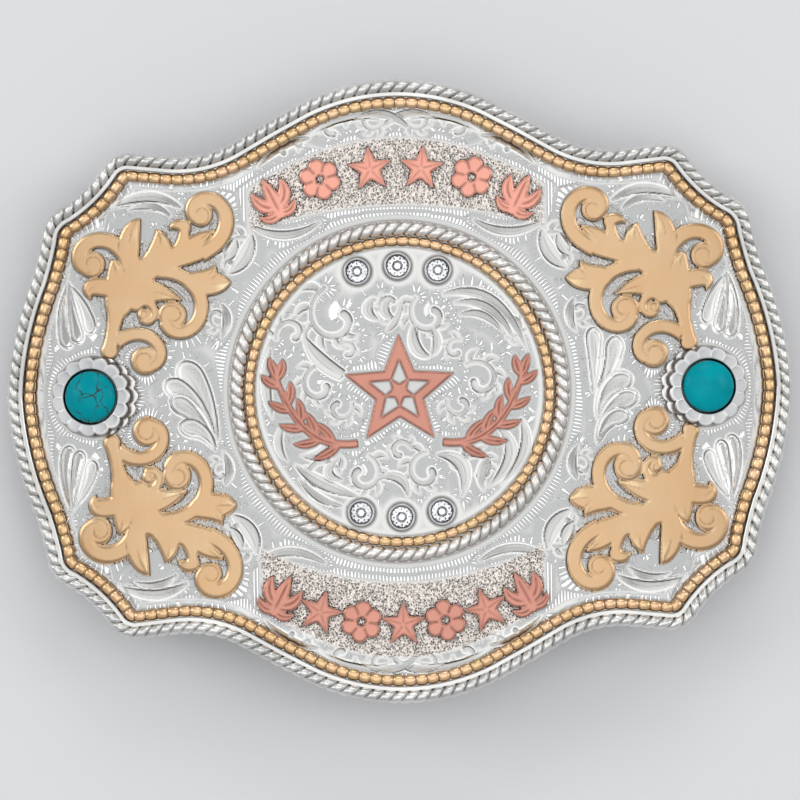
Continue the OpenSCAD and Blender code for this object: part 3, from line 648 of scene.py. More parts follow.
def build(name, points, quads, tris=None, ngons=(), marks=None, facets=None, normals=None, sharp=None, material=None):
    """A mesh object from points in millimetres and corner numbers, with values for its points or its facets. A closed
    mesh whose signed volume is negative is turned right side out. Edges sharper than so many degrees stay sharp, and
    at 0 degrees every facet is flat."""
    tris = np.zeros((0, 3), int) if tris is None else np.asarray(tris)
    quads = np.asarray(quads).reshape(-1, 4)
    p = points.reshape(-1, 3)
    cut = np.concatenate([quads[:, [0, 1, 2]], quads[:, [0, 2, 3]], tris])
    a, b, c = p[cut[:, 0]], p[cut[:, 1]], p[cut[:, 2]]
    centre = p.mean(axis=0)
    if np.einsum("ij,ij->i", a - centre, np.cross(b - centre, c - centre)).sum() < 0:
        quads, tris = quads[:, ::-1], tris[:, ::-1]
        ngons = [n[::-1] for n in ngons]
    loops = np.concatenate([quads.ravel(), tris.ravel(), *[np.asarray(n) for n in ngons]]).astype(np.int32)
    counts = [np.full(len(quads), 4), np.full(len(tris), 3), [len(n) for n in ngons]]
    sizes = np.concatenate(counts).astype(int)
    starts = np.concatenate([[0], np.cumsum(sizes)[:-1]]).astype(np.int32)
    mesh = bpy.data.meshes.new(name)
    mesh.vertices.add(len(p))
    mesh.loops.add(len(loops))
    mesh.polygons.add(len(sizes))
    mesh.vertices.foreach_set("co", (p * MM).astype(np.float32).ravel())
    mesh.loops.foreach_set("vertex_index", loops)
    mesh.polygons.foreach_set("loop_start", starts)
    mesh.polygons.foreach_set("use_smooth", np.full(len(sizes), sharp != 0))
    mesh.update(calc_edges=True)
    for key, values in (marks or {}).items():
        layer = mesh.attributes.new(key, "FLOAT", "POINT")
        layer.data.foreach_set("value", np.asarray(values, np.float32).ravel())
    if facets is not None:
        layer = mesh.attributes.new("facet", "FLOAT", "FACE")
        layer.data.foreach_set("value", np.asarray(facets, np.float32))
    if sharp:
        mesh.set_sharp_from_angle(angle=math.radians(sharp))
    if normals is not None:
        mesh.normals_split_custom_set_from_vertices(normals.reshape(-1, 3))
    obj = bpy.data.objects.new(name, mesh)
    bpy.context.scene.collection.objects.link(obj)
    if material:
        mesh.materials.append(material)
    return obj


def finish_piece(obj, slot, *nodes):
    """Fixes a finished piece to the frame, in place of its CAD nodes."""
    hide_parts(*nodes)
    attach(obj, "root")


def stations(profile, turns, lobe):
    """A surface of revolution: each row of the profile is a radius, a height and how far it follows the lobes."""
    a = 2 * np.pi * np.arange(turns) / turns
    radius, height, share = (profile[:, None, k] for k in range(3))
    radius = radius * (1 - share) + radius * share * lobe(a)
    return np.stack([radius * np.cos(a), radius * np.sin(a), np.broadcast_to(height, radius.shape)], axis=-1)


def applied_piece(name, x, y, f, top, marks, thickness, bevel, material):
    """A plate cut from a grid by a signed distance. Cells with a corner inside are kept and outside corners move
    on to the contour; the edge falls by the bevel; walls and a flat underside close it."""
    step = abs(x[0, 1] - x[0, 0])
    inside = f < 0
    keep = inside[:-1, :-1] | inside[1:, :-1] | inside[:-1, 1:] | inside[1:, 1:]
    used = np.zeros(f.shape, bool)
    for rows in (slice(None, -1), slice(1, None)):
        for cols in (slice(None, -1), slice(1, None)):
            used[rows, cols] |= keep
    gy, gx = np.gradient(f, step)
    size = np.maximum(gx * gx + gy * gy, 0.25)
    move = np.where(f > 0, f, 0) / size
    reach = np.minimum(1, 0.95 * step / np.maximum(move * np.hypot(gx, gy), 1e-9))
    flip = np.sign(x[0, 1] - x[0, 0])
    px = x - gx * move * reach * flip
    py = y - gy * move * reach
    depth = np.minimum(f, 0)
    flat = smooth(0, 0.3, -depth)
    h = SEAT + thickness - bevel * (1 - flat) + np.where(f < 0, top, 0) * flat
    h = np.minimum(h, SEAT + thickness + 0.12)
    ids = np.full(f.shape, -1)
    n = int(used.sum())
    ids[used] = np.arange(n)
    upper = over_face(px[used], py[used], h[used])
    lower = over_face(px[used], py[used], np.full(n, SEAT))
    corners = [ids[:-1, :-1], ids[:-1, 1:], ids[1:, 1:], ids[1:, :-1]]
    quads = [np.stack([c[keep] for c in corners], axis=-1),
             np.stack([c[keep] + n for c in corners[::-1]], axis=-1)]
    padded = np.pad(keep, 1)
    for rows, cols, a, b in ((slice(None, -2), slice(1, -1), 0, 1), (slice(1, -1), slice(2, None), 1, 2),
                             (slice(2, None), slice(1, -1), 2, 3), (slice(1, -1), slice(None, -2), 3, 0)):
        bare = keep & ~padded[rows, cols]
        p, q = corners[a][bare], corners[b][bare]
        quads.append(np.stack([q, p, p + n, q + n], axis=-1))
    values = {key: np.concatenate([v[used], np.zeros(n)]) for key, v in marks.items()}
    # The rim mark darkens the bevel a little and the walls and underside more: painted shade, partly patina
    values["rim"] = np.concatenate([smooth(-0.25, 0, f[used]), np.full(n, 6.0)])
    return build(name, np.concatenate([upper, lower]), np.concatenate(quads), marks=values, sharp=48,
                 material=material)


# Node groups and materials


def add(tree, kind, sockets=None, **settings):
    """A shader node with its settings, and its inputs set to values or linked to outputs."""
    node = tree.nodes.new(kind)
    for key, value in settings.items():
        setattr(node, key, value)
    for key, value in (sockets or {}).items():
        if isinstance(value, bpy.types.NodeSocket):
            tree.links.new(value, node.inputs[key])
        else:
            node.inputs[key].default_value = value
    return node


def math_node(tree, operation, a, b=0.0, clamp=False):
    """The output of a math node on two inputs."""
    return add(tree, "ShaderNodeMath", {0: a, 1: b}, operation=operation, use_clamp=clamp).outputs[0]


def plus(tree, a, b, clamp=False):
    """The output of a sum."""
    return math_node(tree, "ADD", a, b, clamp)


def minus(tree, a, b):
    """The output of a difference."""
    return math_node(tree, "SUBTRACT", a, b)


def times(tree, a, b, clamp=False):
    """The output of a product."""
    return math_node(tree, "MULTIPLY", a, b, clamp)


def noise(tree, vector, scale, detail):
    """The value of a noise."""
    sockets = {"Vector": vector, "Scale": scale, "Detail": detail}
    return add(tree, "ShaderNodeTexNoise", sockets).outputs["Fac"]


def mix_node(tree, factor, a, b, blend="MIX"):
    """The colour output of a mix node, whose colour inputs are numbers 6 and 7 and whose colour output is 2."""
    node = tree.nodes.new("ShaderNodeMix")
    node.data_type = "RGBA"
    node.blend_type = blend
    for index, value in ((0, factor), (6, a), (7, b)):
        if isinstance(value, bpy.types.NodeSocket):
            tree.links.new(value, node.inputs[index])
        elif index == 0:
            node.inputs[index].default_value = value
        else:
            node.inputs[index].default_value = (*value[:3], 1.0)
    return node.outputs[2]


def group(name, inputs, outputs):
    """A node group with typed sockets: its tree, the outputs of its input node and the inputs of its output node."""
    tree = bpy.data.node_groups.new(name, "ShaderNodeTree")
    for label, kind, value in inputs:
        socket = tree.interface.new_socket(name=label, in_out="INPUT", socket_type="NodeSocket" + kind)
        if value is not None:
            socket.default_value = value
    for label, kind in outputs:
        tree.interface.new_socket(name=label, in_out="OUTPUT", socket_type="NodeSocket" + kind)
    return tree, tree.nodes.new("NodeGroupInput").outputs, tree.nodes.new("NodeGroupOutput").inputs


def wear_group():
    """Wear: soft patches and fine rubbed grain, drawn out along Y, put out as a roughness and a height."""
    tree, given, out = group(
        "Wear", [("Vector", "Vector", None), ("Roughness", "Float", 0.25), ("Spread", "Float", 0.1),
                 ("Grain", "Float", 2500.0), ("Patch", "Float", 90.0)],
        [("Roughness", "Float"), ("Height", "Float")])
    patches = noise(tree, given["Vector"], given["Patch"], 3.0)
    drawn = add(tree, "ShaderNodeVectorMath", {0: given["Vector"], 1: (1.0, 0.13, 1.0)}, operation="MULTIPLY")
    grain = noise(tree, drawn.outputs[0], given["Grain"], 4.0)
    both = plus(tree, minus(tree, patches, 0.5), times(tree, minus(tree, grain, 0.5), 0.8))
    rough = plus(tree, given["Roughness"], times(tree, both, given["Spread"]), clamp=True)
    tree.links.new(rough, out["Roughness"])
    tree.links.new(grain, out["Height"])
    return tree


def tarnish_and_shade_group():
    """Darkening: a metal that drifts between two colours goes to a dark one where a mask, broken up by noise, is
    high. The dark is patina in some hollows, painted shade in others, and painted reflection on a stone's facets."""
    tree, given, out = group(
        "Tarnish and shade", [("Vector", "Vector", None), ("Mask", "Float", 0.0), ("Metal", "Color", (0.8, 0.8, 0.8, 1)),
                    ("Second", "Color", (0.7, 0.7, 0.7, 1)), ("Oxide and shade", "Color", (0.03, 0.03, 0.03, 1)),
                    ("Break Up", "Float", 0.35), ("Scale", "Float", 900.0)],
        [("Color", "Color"), ("Mask", "Float")])
    ragged = times(tree, minus(tree, noise(tree, given["Vector"], given["Scale"], 3.0), 0.5), given["Break Up"])
    mask = plus(tree, given["Mask"], times(tree, ragged, times(tree, given["Mask"], 4.0)), clamp=True)
    drift = noise(tree, given["Vector"], 160.0, 2.0)
    patch = add(tree, "ShaderNodeMapRange", {"Value": drift, "From Min": 0.3, "From Max": 0.7})
    metal = mix_node(tree, patch.outputs[0], given["Metal"], given["Second"])
    tree.links.new(mix_node(tree, mask, metal, given["Oxide and shade"]), out["Color"])
    tree.links.new(mask, out["Mask"])
    return tree


def cuts_group():
    """Hatching: at each whole number of the run one bright cut that narrows with the window, each a little longer
    or shorter than the next, and a mask of the darker ground between the cuts, wherever the ground is worked."""
    tree, given, out = group(
        "Cuts", [("Run", "Float", 0.0), ("Window", "Float", 0.0), ("Worked", "Float", 0.0), ("Narrow", "Float", 1.0)],
        [("Cut", "Float"), ("Between", "Float")])
    whole = math_node(tree, "FLOOR", given["Run"])
    odd = add(tree, "ShaderNodeTexWhiteNoise", {"W": whole}, noise_dimensions="1D").outputs["Value"]
    window = minus(tree, given["Window"], times(tree, odd, 0.25))
    saw = minus(tree, math_node(tree, "FRACT", given["Run"]), 0.5)
    away = times(tree, math_node(tree, "ABSOLUTE", saw), 2.0)
    width = times(tree, plus(tree, times(tree, window, 0.55), 0.16), given["Narrow"])
    cut = times(tree, minus(tree, width, away), 4.0, clamp=True)
    cut = times(tree, cut, times(tree, window, 5.0, clamp=True))
    soft = times(tree, given["Worked"], 1.5, clamp=True)
    tree.links.new(cut, out["Cut"])
    tree.links.new(times(tree, soft, minus(tree, 1.0, cut)), out["Between"])
    return tree


def stipple_group():
    """Stippled ground: punch marks from cells and noise, put out as a height and a mask of their dark floors."""
    tree, given, out = group("Stipple", [("Vector", "Vector", None), ("Scale", "Float", 1900.0)],
                             [("Height", "Float"), ("Mask", "Float")])
    cells = add(tree, "ShaderNodeTexVoronoi", {"Vector": given["Vector"], "Scale": given["Scale"]})
    height = plus(tree, cells.outputs["Distance"], times(tree, noise(tree, given["Vector"], 2600.0, 3.0), 0.9))
    mask = add(tree, "ShaderNodeMapRange", {"Value": height, "From Min": 1.05, "From Max": 0.65})
    tree.links.new(height, out["Height"])
    tree.links.new(mask.outputs[0], out["Mask"])
    return tree


def vein_group():
    """Matrix veins: thin edges of warped cells, kept only where a broad noise is high, which is put out as well."""
    tree, given, out = group(
        "Matrix veins", [("Vector", "Vector", None), ("Scale", "Float", 420.0), ("Amount", "Float", 0.5)],
        [("Mask", "Float"), ("Tone", "Float")])
    warp = add(tree, "ShaderNodeTexNoise", {"Vector": given["Vector"], "Scale": 700.0, "Detail": 3.0})
    moved = add(tree, "ShaderNodeVectorMath", {0: warp.outputs["Color"], 1: (0.0016, 0.0016, 0.0016)},
                operation="MULTIPLY")
    at = add(tree, "ShaderNodeVectorMath", {0: given["Vector"], 1: moved.outputs[0]}, operation="ADD")
    cells = add(tree, "ShaderNodeTexVoronoi", {"Vector": at.outputs[0], "Scale": given["Scale"]},
                feature="DISTANCE_TO_EDGE")
    thin = add(tree, "ShaderNodeMapRange",
               {"Value": cells.outputs["Distance"], "From Min": 0.042, "From Max": 0.014})
    broad = noise(tree, given["Vector"], 330.0, 2.0)
    kept = times(tree, minus(tree, plus(tree, broad, given["Amount"]), 0.85), 6.0, clamp=True)
    tree.links.new(times(tree, thin.outputs[0], kept), out["Mask"])
    tree.links.new(broad, out["Tone"])
    return tree


GROUP_MAKERS = {"wear": wear_group, "tarnish_and_shade": tarnish_and_shade_group, "cuts": cuts_group, "stipple": stipple_group,
                "veins": vein_group}
GROUPS = {}


def use(tree, name, sockets):
    """The outputs of a shared group, built the first time that it is asked for, placed in a material with its own
    values."""
    if name not in GROUPS:
        GROUPS[name] = GROUP_MAKERS[name]()
    node = tree.nodes.new("ShaderNodeGroup")
    node.node_tree = GROUPS[name]
    for key, value in sockets.items():
        if isinstance(value, bpy.types.NodeSocket):
            tree.links.new(value, node.inputs[key])
        else:
            node.inputs[key].default_value = (*value, 1.0) if isinstance(value, tuple) else value
    return node.outputs


def new_material(name, **values):
    """A material with a Principled shader, its constant values, and the Object coordinates."""
    made = bpy.data.materials.new(name)
    made.use_nodes = True
    tree = made.node_tree
    tree.nodes.clear()
    shader = add(tree, "ShaderNodeBsdfPrincipled", values)
    end = tree.nodes.new("ShaderNodeOutputMaterial")
    tree.links.new(shader.outputs[0], end.inputs["Surface"])
    where = tree.nodes.new("ShaderNodeTexCoord").outputs["Object"]
    return made, tree, shader, where


def attribute(tree, name):
    """The value of one of the mesh's own attributes."""
    return add(tree, "ShaderNodeAttribute", attribute_name=name).outputs["Fac"]


def bump(tree, height, distance, normal=None):
    """The normal of a bump of a height, over an earlier normal if there is one."""
    sockets = {"Height": height, "Distance": distance, "Strength": 1.0}
    if normal is not None:
        sockets["Normal"] = normal
    return add(tree, "ShaderNodeBump", sockets).outputs[0]


def rgb(colour, scale=1.0):
    """A colour as three plain numbers, scaled."""
    return tuple(min(1.0, c * scale) for c in colour)


def metal(name, colour, second, recess=None, roughness=0.25, spread=0.1, oxide_and_shade=(0.03, 0.03, 0.03), grain=2500.0,
          depth=0.00001, tint=None, rim=0.0):
    """A worn metal of two colours: dark where its recess attribute and a share of its rim attribute are high, which is
    patina in cut lines and the ropes' clefts and painted shade at the feet, undersides and hollows of beads, collars,
    bezels and applied pieces, and of the tint's colour where its tint attribute is, which is a painted highlight on
    the overlays and the collars and the beads' own varied tint."""
    made, tree, shader, where = new_material(name, Metallic=1.0)
    mask = attribute(tree, recess) if recess else 0.0
    if rim:
        mask = math_node(tree, "MAXIMUM", mask, times(tree, attribute(tree, "rim"), rim))
    base = mix_node(tree, attribute(tree, "tint"), rgb(colour), tint) if tint else rgb(colour)
    dark = use(tree, "tarnish_and_shade", {"Vector": where, "Mask": mask, "Metal": base, "Second": second, "Oxide and shade": rgb(oxide_and_shade)})
    tree.links.new(dark["Color"], shader.inputs["Base Color"])
    worn = use(tree, "wear", {"Vector": where, "Roughness": roughness, "Spread": spread, "Grain": grain})
    rough = plus(tree, worn["Roughness"], times(tree, dark["Mask"], 0.35), clamp=True)
    tree.links.new(rough, shader.inputs["Roughness"])
    tree.links.new(bump(tree, worn["Height"], depth), shader.inputs["Normal"])
    return made


def face_material(colours):
    """Bright engraved silver: its tone comes from the engraving and carries painted shade and highlights; it is
    hatched, with its cuts painted near white as a highlight, and stippled.
    """
    made, tree, shader, where = new_material("Engraved silver", Metallic=1.0)
    tone, ground = attribute(tree, "tone"), attribute(tree, "stipple")
    cuts = use(tree, "cuts", {key.title(): attribute(tree, key) for key in ("run", "window", "worked", "narrow")})
    dots = use(tree, "stipple", {"Vector": where, "Scale": 3500.0})
    shade = mix_node(tree, tone, (0.02, 0.02, 0.02), rgb(colours.silver))
    shade = mix_node(tree, cuts["Between"], shade, (0.80, 0.81, 0.83), "MULTIPLY")
    # Painted highlight: the hatching's cuts are lifted to near white
    shade = mix_node(tree, times(tree, cuts["Cut"], 0.9), shade, (0.97, 0.97, 0.96))
    stippled = mix_node(tree, dots["Mask"], (0.90, 0.81, 0.74), (0.05, 0.045, 0.04))
    stippled = mix_node(tree, tone, (0.05, 0.05, 0.05), stippled)
    shade = mix_node(tree, times(tree, ground, 0.9), shade, stippled)
    tree.links.new(shade, shader.inputs["Base Color"])
    worn = use(tree, "wear", {"Vector": where, "Roughness": 0.26, "Spread": 0.12, "Grain": 2200.0})
    tree.links.new(worn["Roughness"], shader.inputs["Roughness"])
    normal = bump(tree, times(tree, cuts["Cut"], -1.0), 0.00004)
    normal = bump(tree, times(tree, dots["Height"], ground), 0.00010, normal)
    tree.links.new(bump(tree, worn["Height"], 0.000006, normal), shader.inputs["Normal"])
    return made


def turquoise_material(name, colour, amount, vein, tone):
    """Polished turquoise: a body colour that drifts, brown or dark veins and a clear gloss."""
    made, tree, shader, where = new_material(name, Metallic=0.0, **{"Specular IOR Level": 0.08})
    veins = use(tree, "veins", {"Vector": where, "Scale": 420.0, "Amount": amount})
    body = mix_node(tree, veins["Tone"], rgb(colour, 0.8), tone)
    tree.links.new(mix_node(tree, veins["Mask"], body, vein), shader.inputs["Base Color"])
    worn = use(tree, "wear", {"Vector": where, "Roughness": 0.22, "Spread": 0.08, "Grain": 900.0})
    tree.links.new(worn["Roughness"], shader.inputs["Roughness"])
    tree.links.new(bump(tree, times(tree, veins["Mask"], -1.0), 0.00003), shader.inputs["Normal"])
    return made


def stone_material():
    """A clear stone with a faint uneven polish, whose facets are painted darker or lighter as reflections."""
    made, tree, shader, where = new_material("Clear stone", Metallic=0.0, IOR=1.54, **{"Transmission Weight": 1.0})
    # Painted reflection: some facets are darkened
    tint = use(tree, "tarnish_and_shade", {"Vector": where, "Mask": attribute(tree, "facet"), "Metal": (0.99, 0.99, 1.0),
                                 "Second": (0.93, 0.94, 0.96), "Oxide and shade": (0.12, 0.125, 0.14), "Break Up": 0.1})
    tree.links.new(tint["Color"], shader.inputs["Base Color"])
    worn = use(tree, "wear", {"Vector": where, "Roughness": 0.03, "Spread": 0.03, "Grain": 700.0})
    tree.links.new(worn["Roughness"], shader.inputs["Roughness"])
    return made


# Pieces


def slope(values, x, y):
    """How fast values change along x and along y on a grid whose columns run up y: differences over steps, less
    what the rows' own rise adds."""
    up = np.gradient(values, axis=1) / np.gradient(y, axis=1)
    return (np.gradient(values, axis=0) - up * np.gradient(y, axis=0)) / np.gradient(x, axis=0), up


# Hatching round each kind of outline: how far it reaches, and how far off the outline it starts
HATCHING = {"leaf": (2.0, 0.38), "overlay": (2.3, 0.32), "ring": (1.9, 0.9), "edge": (2.3, 0.2),
            "collar": (1.9, 0.5), "banner": (1.6, 0.3), "star": (2.2, 0.4), "laurel": (1.9, 0.4)}


def face_marks(x, y, sizes, edge):
    """Height and marks of the engraved face at plan points.

    Each leaf slopes to a deep edge and has a raised outline. The nearest outline gives the hatching its run, the
    length along it over the pitch, and its window, which tapers off with distance. Outlines of one family, such as
    a scroll's own leaves, share their hatching; where two families meet, the window closes and the ground stays
    worked. Narrow is the pitch times the slope of the run, so that cuts which crowd together grow thin. Some lobes
    are crosshatched. The tone is a share of the metal's own brightness with painted light in it: painted shade
    inside the leaves, painted highlights on raised outlines and lobe rims, dark lines at the feet of applied pieces
    that are painted shade and partly patina, a painted shadow on the overlays' lower left sides, and painted light
    on the bent ends."""
    depth_mm = sizes.cut_depth / MM
    pitch = sizes.hatch_pitch / MM
    shape = x.shape
    x, y = x.ravel(), y.ravel()
    h, leaf, shade, line, painted_ridge_highlight, painted_rim_highlight, fine = (np.zeros(x.shape) for _ in range(7))
    run, window = np.zeros(x.shape), np.zeros(x.shape)
    near, second, close, overlay = (np.full(x.shape, FAR) for _ in range(4))
    owner, numbers = np.zeros(x.shape, int), iter(range(1, 999))
    everywhere = np.ones(x.shape, bool)

    def region(points, margin):
        low, high = points.min(axis=0) - margin, points.max(axis=0) + margin
        return (x > low[0]) & (x < high[0]) & (y > low[1]) & (y < high[1])

    def hatch(kind, where, f, along, family):
        reach, start = HATCHING[kind]
        f = f - start
        taper = smooth(-0.1, 0.12, f) * (1 - np.clip(f / reach, 0, 1) ** 1.8)
        nearer, other = f < near[where], owner[where] != family
        next_one = np.where(nearer, near[where], np.minimum(second[where], f))
        second[where] = np.where(other, next_one, second[where])
        near[where] = np.where(nearer, f, near[where])
        owner[where] = np.where(nearer, family, owner[where])
        run[where] = np.where(nearer, along / pitch, run[where])
        window[where] = np.where(nearer, taper, window[where])

    def engrave(path, width, deep, sx=1.0, sy=1.0, rim=0.0, family=0):
        path = path * [sx, sy]
        where = region(path, 3.0)
        if not where.any():
            return
        f, side, along, half = stroke_field(x[where], y[where], path, width)
        v, part = np.clip(side / half, -1.3, 1.3) * deep * sx * sy, along / lengths(path)[-1]
        inside = smooth(0.11, -0.13, f)
        slant = np.clip((1 + v) / 2, 0, 1)
        size = np.minimum(1, half / 0.5)
        h[where] = np.minimum(h[where] * (1 - inside), -depth_mm * size * inside * slant)
        h[where] += 0.045 * np.exp(-((f - RAISED_AT) / 0.12) ** 2)
        # Painted highlight along the raised outline
        painted_ridge_highlight[where] = np.maximum(painted_ridge_highlight[where] * (1 - inside), np.exp(-((f - RAISED_AT) / 0.14) ** 2) * size)
        leaf[where] = np.maximum(leaf[where], inside)
        # Painted shade: the inside of a leaf is darker towards its deep edge
        shade[where] = np.where(inside > 0.05, inside * (0.15 + 0.85 * slant**1.4), shade[where])
        # Dark line inside the leaf's edge, strongest on the deep side: painted shade, partly patina
        edge_line = np.exp(-((f + 0.03) / 0.12) ** 2) * (0.3 + 0.7 * smooth(0.0, 0.8, v)) * size
        line[where] = np.maximum(line[where] * (1 - 0.8 * inside), 0.8 * edge_line)
        middle = np.exp(-((v + 0.15) * half / 0.10) ** 2) * smooth(0.35, 0.6, half) * smooth(0.95, 0.7, part)
        line[where] = np.maximum(line[where], 0.45 * middle * inside * smooth(0.05, 0.2, part))
        painted_rim_highlight[where] *= 1 - inside
        if rim:
            bead = np.exp(-((f + rim) / (0.55 * rim)) ** 2) * smooth(0.0, 0.9, half)
            bead *= 0.55 + 0.45 * smooth(0.4, -0.4, v)
            h[where] += 0.10 * bead
            # Painted highlight on a lobe's raised rim, stronger on its shallow side
            painted_rim_highlight[where] = np.maximum(painted_rim_highlight[where], bead)
            fine[where] = np.where(inside > 0.5, smooth(-0.1, 0.3, v) * smooth(-0.35, -0.6, f), fine[where])
        hatch("leaf", where, f, along, family or next(numbers))

    for sx in (1, -1):
        for sy in (1, -1):
            for row in QUARTER_SCROLLS:
                family = next(numbers)
                for stroke in engraved_scroll(row)[::-1]:
                    engrave(*stroke, sx, sy, family=family)
            for row in QUARTER_LEAVES:
                engrave(*blade_path(row[:9]), row[9], sx, sy)
            for row in QUARTER_LOBES:
                engrave(*lobe_path(row), row[7], sx, sy, 0.3)
    for row in MIDDLE_SCROLLS:
        family = next(numbers)
        for stroke in engraved_scroll(row)[::-1]:
            engrave(*stroke, family=family)
    for row in MIDDLE_LEAVES:
        engrave(*blade_path(row[:9]), row[9])
    for row in SIDE_LOBES:
        engrave(*lobe_path(row), row[7], rim=0.38)

    for place in SCROLL_PLACES.values():
        side, top = place[:2]
        where = (x * side > 20) & (x * side < 52) & (y * top > 0.5) & (y * top < 32)
        qx, qy = scroll_frame(x[where], y[where], place)
        parts, count, family = np.full(qx.shape, FAR), np.zeros(qx.shape), next(numbers)
        for path, width, _, _ in scroll_strokes():
            f, _, along = stroke_field(qx, qy, path, width)[:3]
            parts = np.minimum(parts, f)
            count += smooth(1.7, 0.6, f)
            hatch("overlay", where, f, along, family)
        for cx, cy, r in scroll_discs():
            d = np.hypot(qx - cx, qy - cy) - r
            parts = np.minimum(parts, d)
            hatch("overlay", where, d, np.arctan2(qy - cy, qx - cx) * (r + 1.2), family)
        overlay[where] = np.minimum(overlay[where], parts)
        close[where] = np.minimum(close[where], np.where(count > 1.6, parts, FAR))

    grid = x.reshape(shape), y.reshape(shape)
    # Painted shadow: a dark line round the overlays' foot, stronger and wider on their lower left sides
    gx, gy = slope(overlay.reshape(shape), *grid)
    lean = smooth(-0.5, 0.7, -0.6 * gx - 0.8 * gy).ravel()
    line = np.maximum(line, (0.65 + 0.6 * lean) * np.exp(-((overlay - 0.06) / (0.12 + 0.05 * lean)) ** 2))

    radius = np.hypot(x, y)
    outside = np.where(radius > RING_R, radius - RING_R, FAR)
    hatch("ring", everywhere, outside, np.arctan2(y, x) * (RING_R + 1), next(numbers))
    rim, along_rim = edge_distance(x, y, edge)
    hatch("edge", everywhere, np.where(rim > MARGIN, rim - MARGIN, FAR), along_rim, next(numbers))
    for sx in (1, -1):
        where = np.hypot(x - sx * SETTING_X, y) < 10
        d = np.hypot(x[where] - sx * SETTING_X, y[where]) - COLLAR_R
        along = np.arctan2(y[where], x[where] - sx * SETTING_X) * 7
        hatch("collar", where, d, along, next(numbers))
        # Dark line round the collar's foot: painted shade, partly patina
        line[where] = np.maximum(line[where], 0.8 * np.exp(-(d / 0.22) ** 2))

    top, low = banner(x, y, 1), banner(x, y, -1)
    for d in (top, low):
        hatch("banner", everywhere, d, x * 1.03, next(numbers))
    banners = np.maximum(smooth(0.2, -0.3, top), smooth(0.2, -0.3, low)) * smooth(23.0, 19.5, np.abs(x))
    h -= BANNER_DEPTH * banners
    stipple = np.maximum(banners, 0.5 * smooth(0.9, 0.55, close))
    for _, kind, cx, cy, turn in row_places():
        where = np.hypot(x - cx, y - cy) < 5.5
        c = turned(np.stack([x[where] - cx, y[where] - cy], axis=-1), -turn)
        f = motif_field(kind, c[:, 0], c[:, 1])[0]
        # Dark line round each small piece's foot: painted shade, partly patina
        line[where] = np.maximum(line[where], 0.9 * np.exp(-(np.maximum(f, 0) / 0.24) ** 2))
    where = radius < 20.5
    star = star_field(x[where], y[where])
    # Dark line round the star's foot: painted shade, partly patina
    line[where] = np.maximum(line[where], 0.8 * np.exp(-(np.maximum(star, 0) / 0.18) ** 2))
    corners = star_corners(STAR_R, STAR_R * STAR_IN)
    hatch("star", where, *polygon_field(x[where], y[where], corners), next(numbers))
    for sx in (1, -1):
        family = next(numbers)
        for path, width in laurel_strokes():
            f, _, along = stroke_field(sx * x[where], y[where], path, width)[:3]
            # Dark line round the laurels' feet: painted shade, partly patina
            line[where] = np.maximum(line[where], 0.8 * np.exp(-(np.maximum(f, 0) / 0.18) ** 2))
            hatch("laurel", where, f, along, family)

    field = np.where(radius < RING_R, FIELD_R - radius, FAR)
    window *= (1 - smooth(0.05, 0.3, stipple)) * smooth(0.15, 0.3, overlay) * smooth(0.0, 0.5, field)
    polish = np.minimum(field, rim - MARGIN)
    for cx, cy in stone_places():
        d = np.hypot(x - cx, y - cy)
        window *= smooth(2.6, 3.1, d)
        polish = np.minimum(polish, d - 2.8)
        # Dark line round each bezel's foot: painted shade, partly patina
        line = np.maximum(line, 0.9 * np.exp(-((d - STONE_R) / 0.2) ** 2))
    # Dark lines at the feet of the ring's beads and rope: painted shade, partly patina
    for middle, half in ((RING_BEADS_AT, 0.85), (RING_R - RING_ROPE_R, 1.15)):
        line = np.maximum(line, 0.7 * np.exp(-((np.abs(radius - middle) - half) / 0.16) ** 2))
    line = np.maximum(line, 0.6 * np.exp(-((rim - GROOVE_INSET) / 0.16) ** 2))
    worked, window = window, window * smooth(0.0, 0.2, second - near)

    # Painted light: the tone rises towards the bent ends, which tilt away from the lamp overhead
    tone = 0.74 - 0.14 * smooth(-0.2, 0.8, polish) + 0.08 * smooth(40, 50, np.abs(x))
    tone = tone * (1 - leaf) + (0.78 - 0.32 * shade) * leaf
    tone = tone * (1 - 0.15 * leaf * fine * (np.sin(11 * (x + y)) * np.sin(11 * (x - y)) > 0))
    tone = tone + (0.95 - tone) * banners
    # Painted highlights: the raised outlines and the lobes' rims are lifted towards white
    tone = tone + (1.0 - tone) * np.maximum(0.9 * painted_ridge_highlight * (1 - leaf), 0.8 * painted_rim_highlight)
    tone = tone * (1 - 0.74 * np.clip(line, 0, 1.25))
    narrow = np.clip(pitch * np.hypot(*slope(run.reshape(shape), *grid)), 0.5, 1.3)
    made = {"h": h, "tone": tone, "run": run, "window": window, "worked": worked, "narrow": narrow,
            "stipple": stipple}
    return {key: values.reshape(shape) for key, values in made.items()}


def edge_table(path):
    """Plan points of the outline with its slope and its length so far, for a quarter of it, as tables over x and y."""
    quarter = path[(path[:, 0] >= 0) & (path[:, 1] >= 0)]
    t = unit(np.gradient(quarter, axis=0))
    return quarter, lengths(quarter), np.abs(t[:, 0]), np.abs(t[:, 1])


def edge_distance(x, y, edge):
    """Rough distance in from the outline, the less of the way up and the way out, each times the outline's own lean,
    and the outline's length at the nearer point."""
    quarter, s, flat, steep = edge
    ax, ay = np.abs(x), np.abs(y)
    up = (np.interp(ax, quarter[:, 0], quarter[:, 1]) - ay) * np.interp(ax, quarter[:, 0], flat)
    back = quarter[::-1]
    out = (np.interp(ay, back[:, 1], back[:, 0]) - ax) * np.interp(ay, back[:, 1], steep[::-1])
    along = np.where(up < out, np.interp(ax, quarter[:, 0], s), np.interp(ay, back[:, 1], s[::-1]))
    return np.minimum(up, out), along


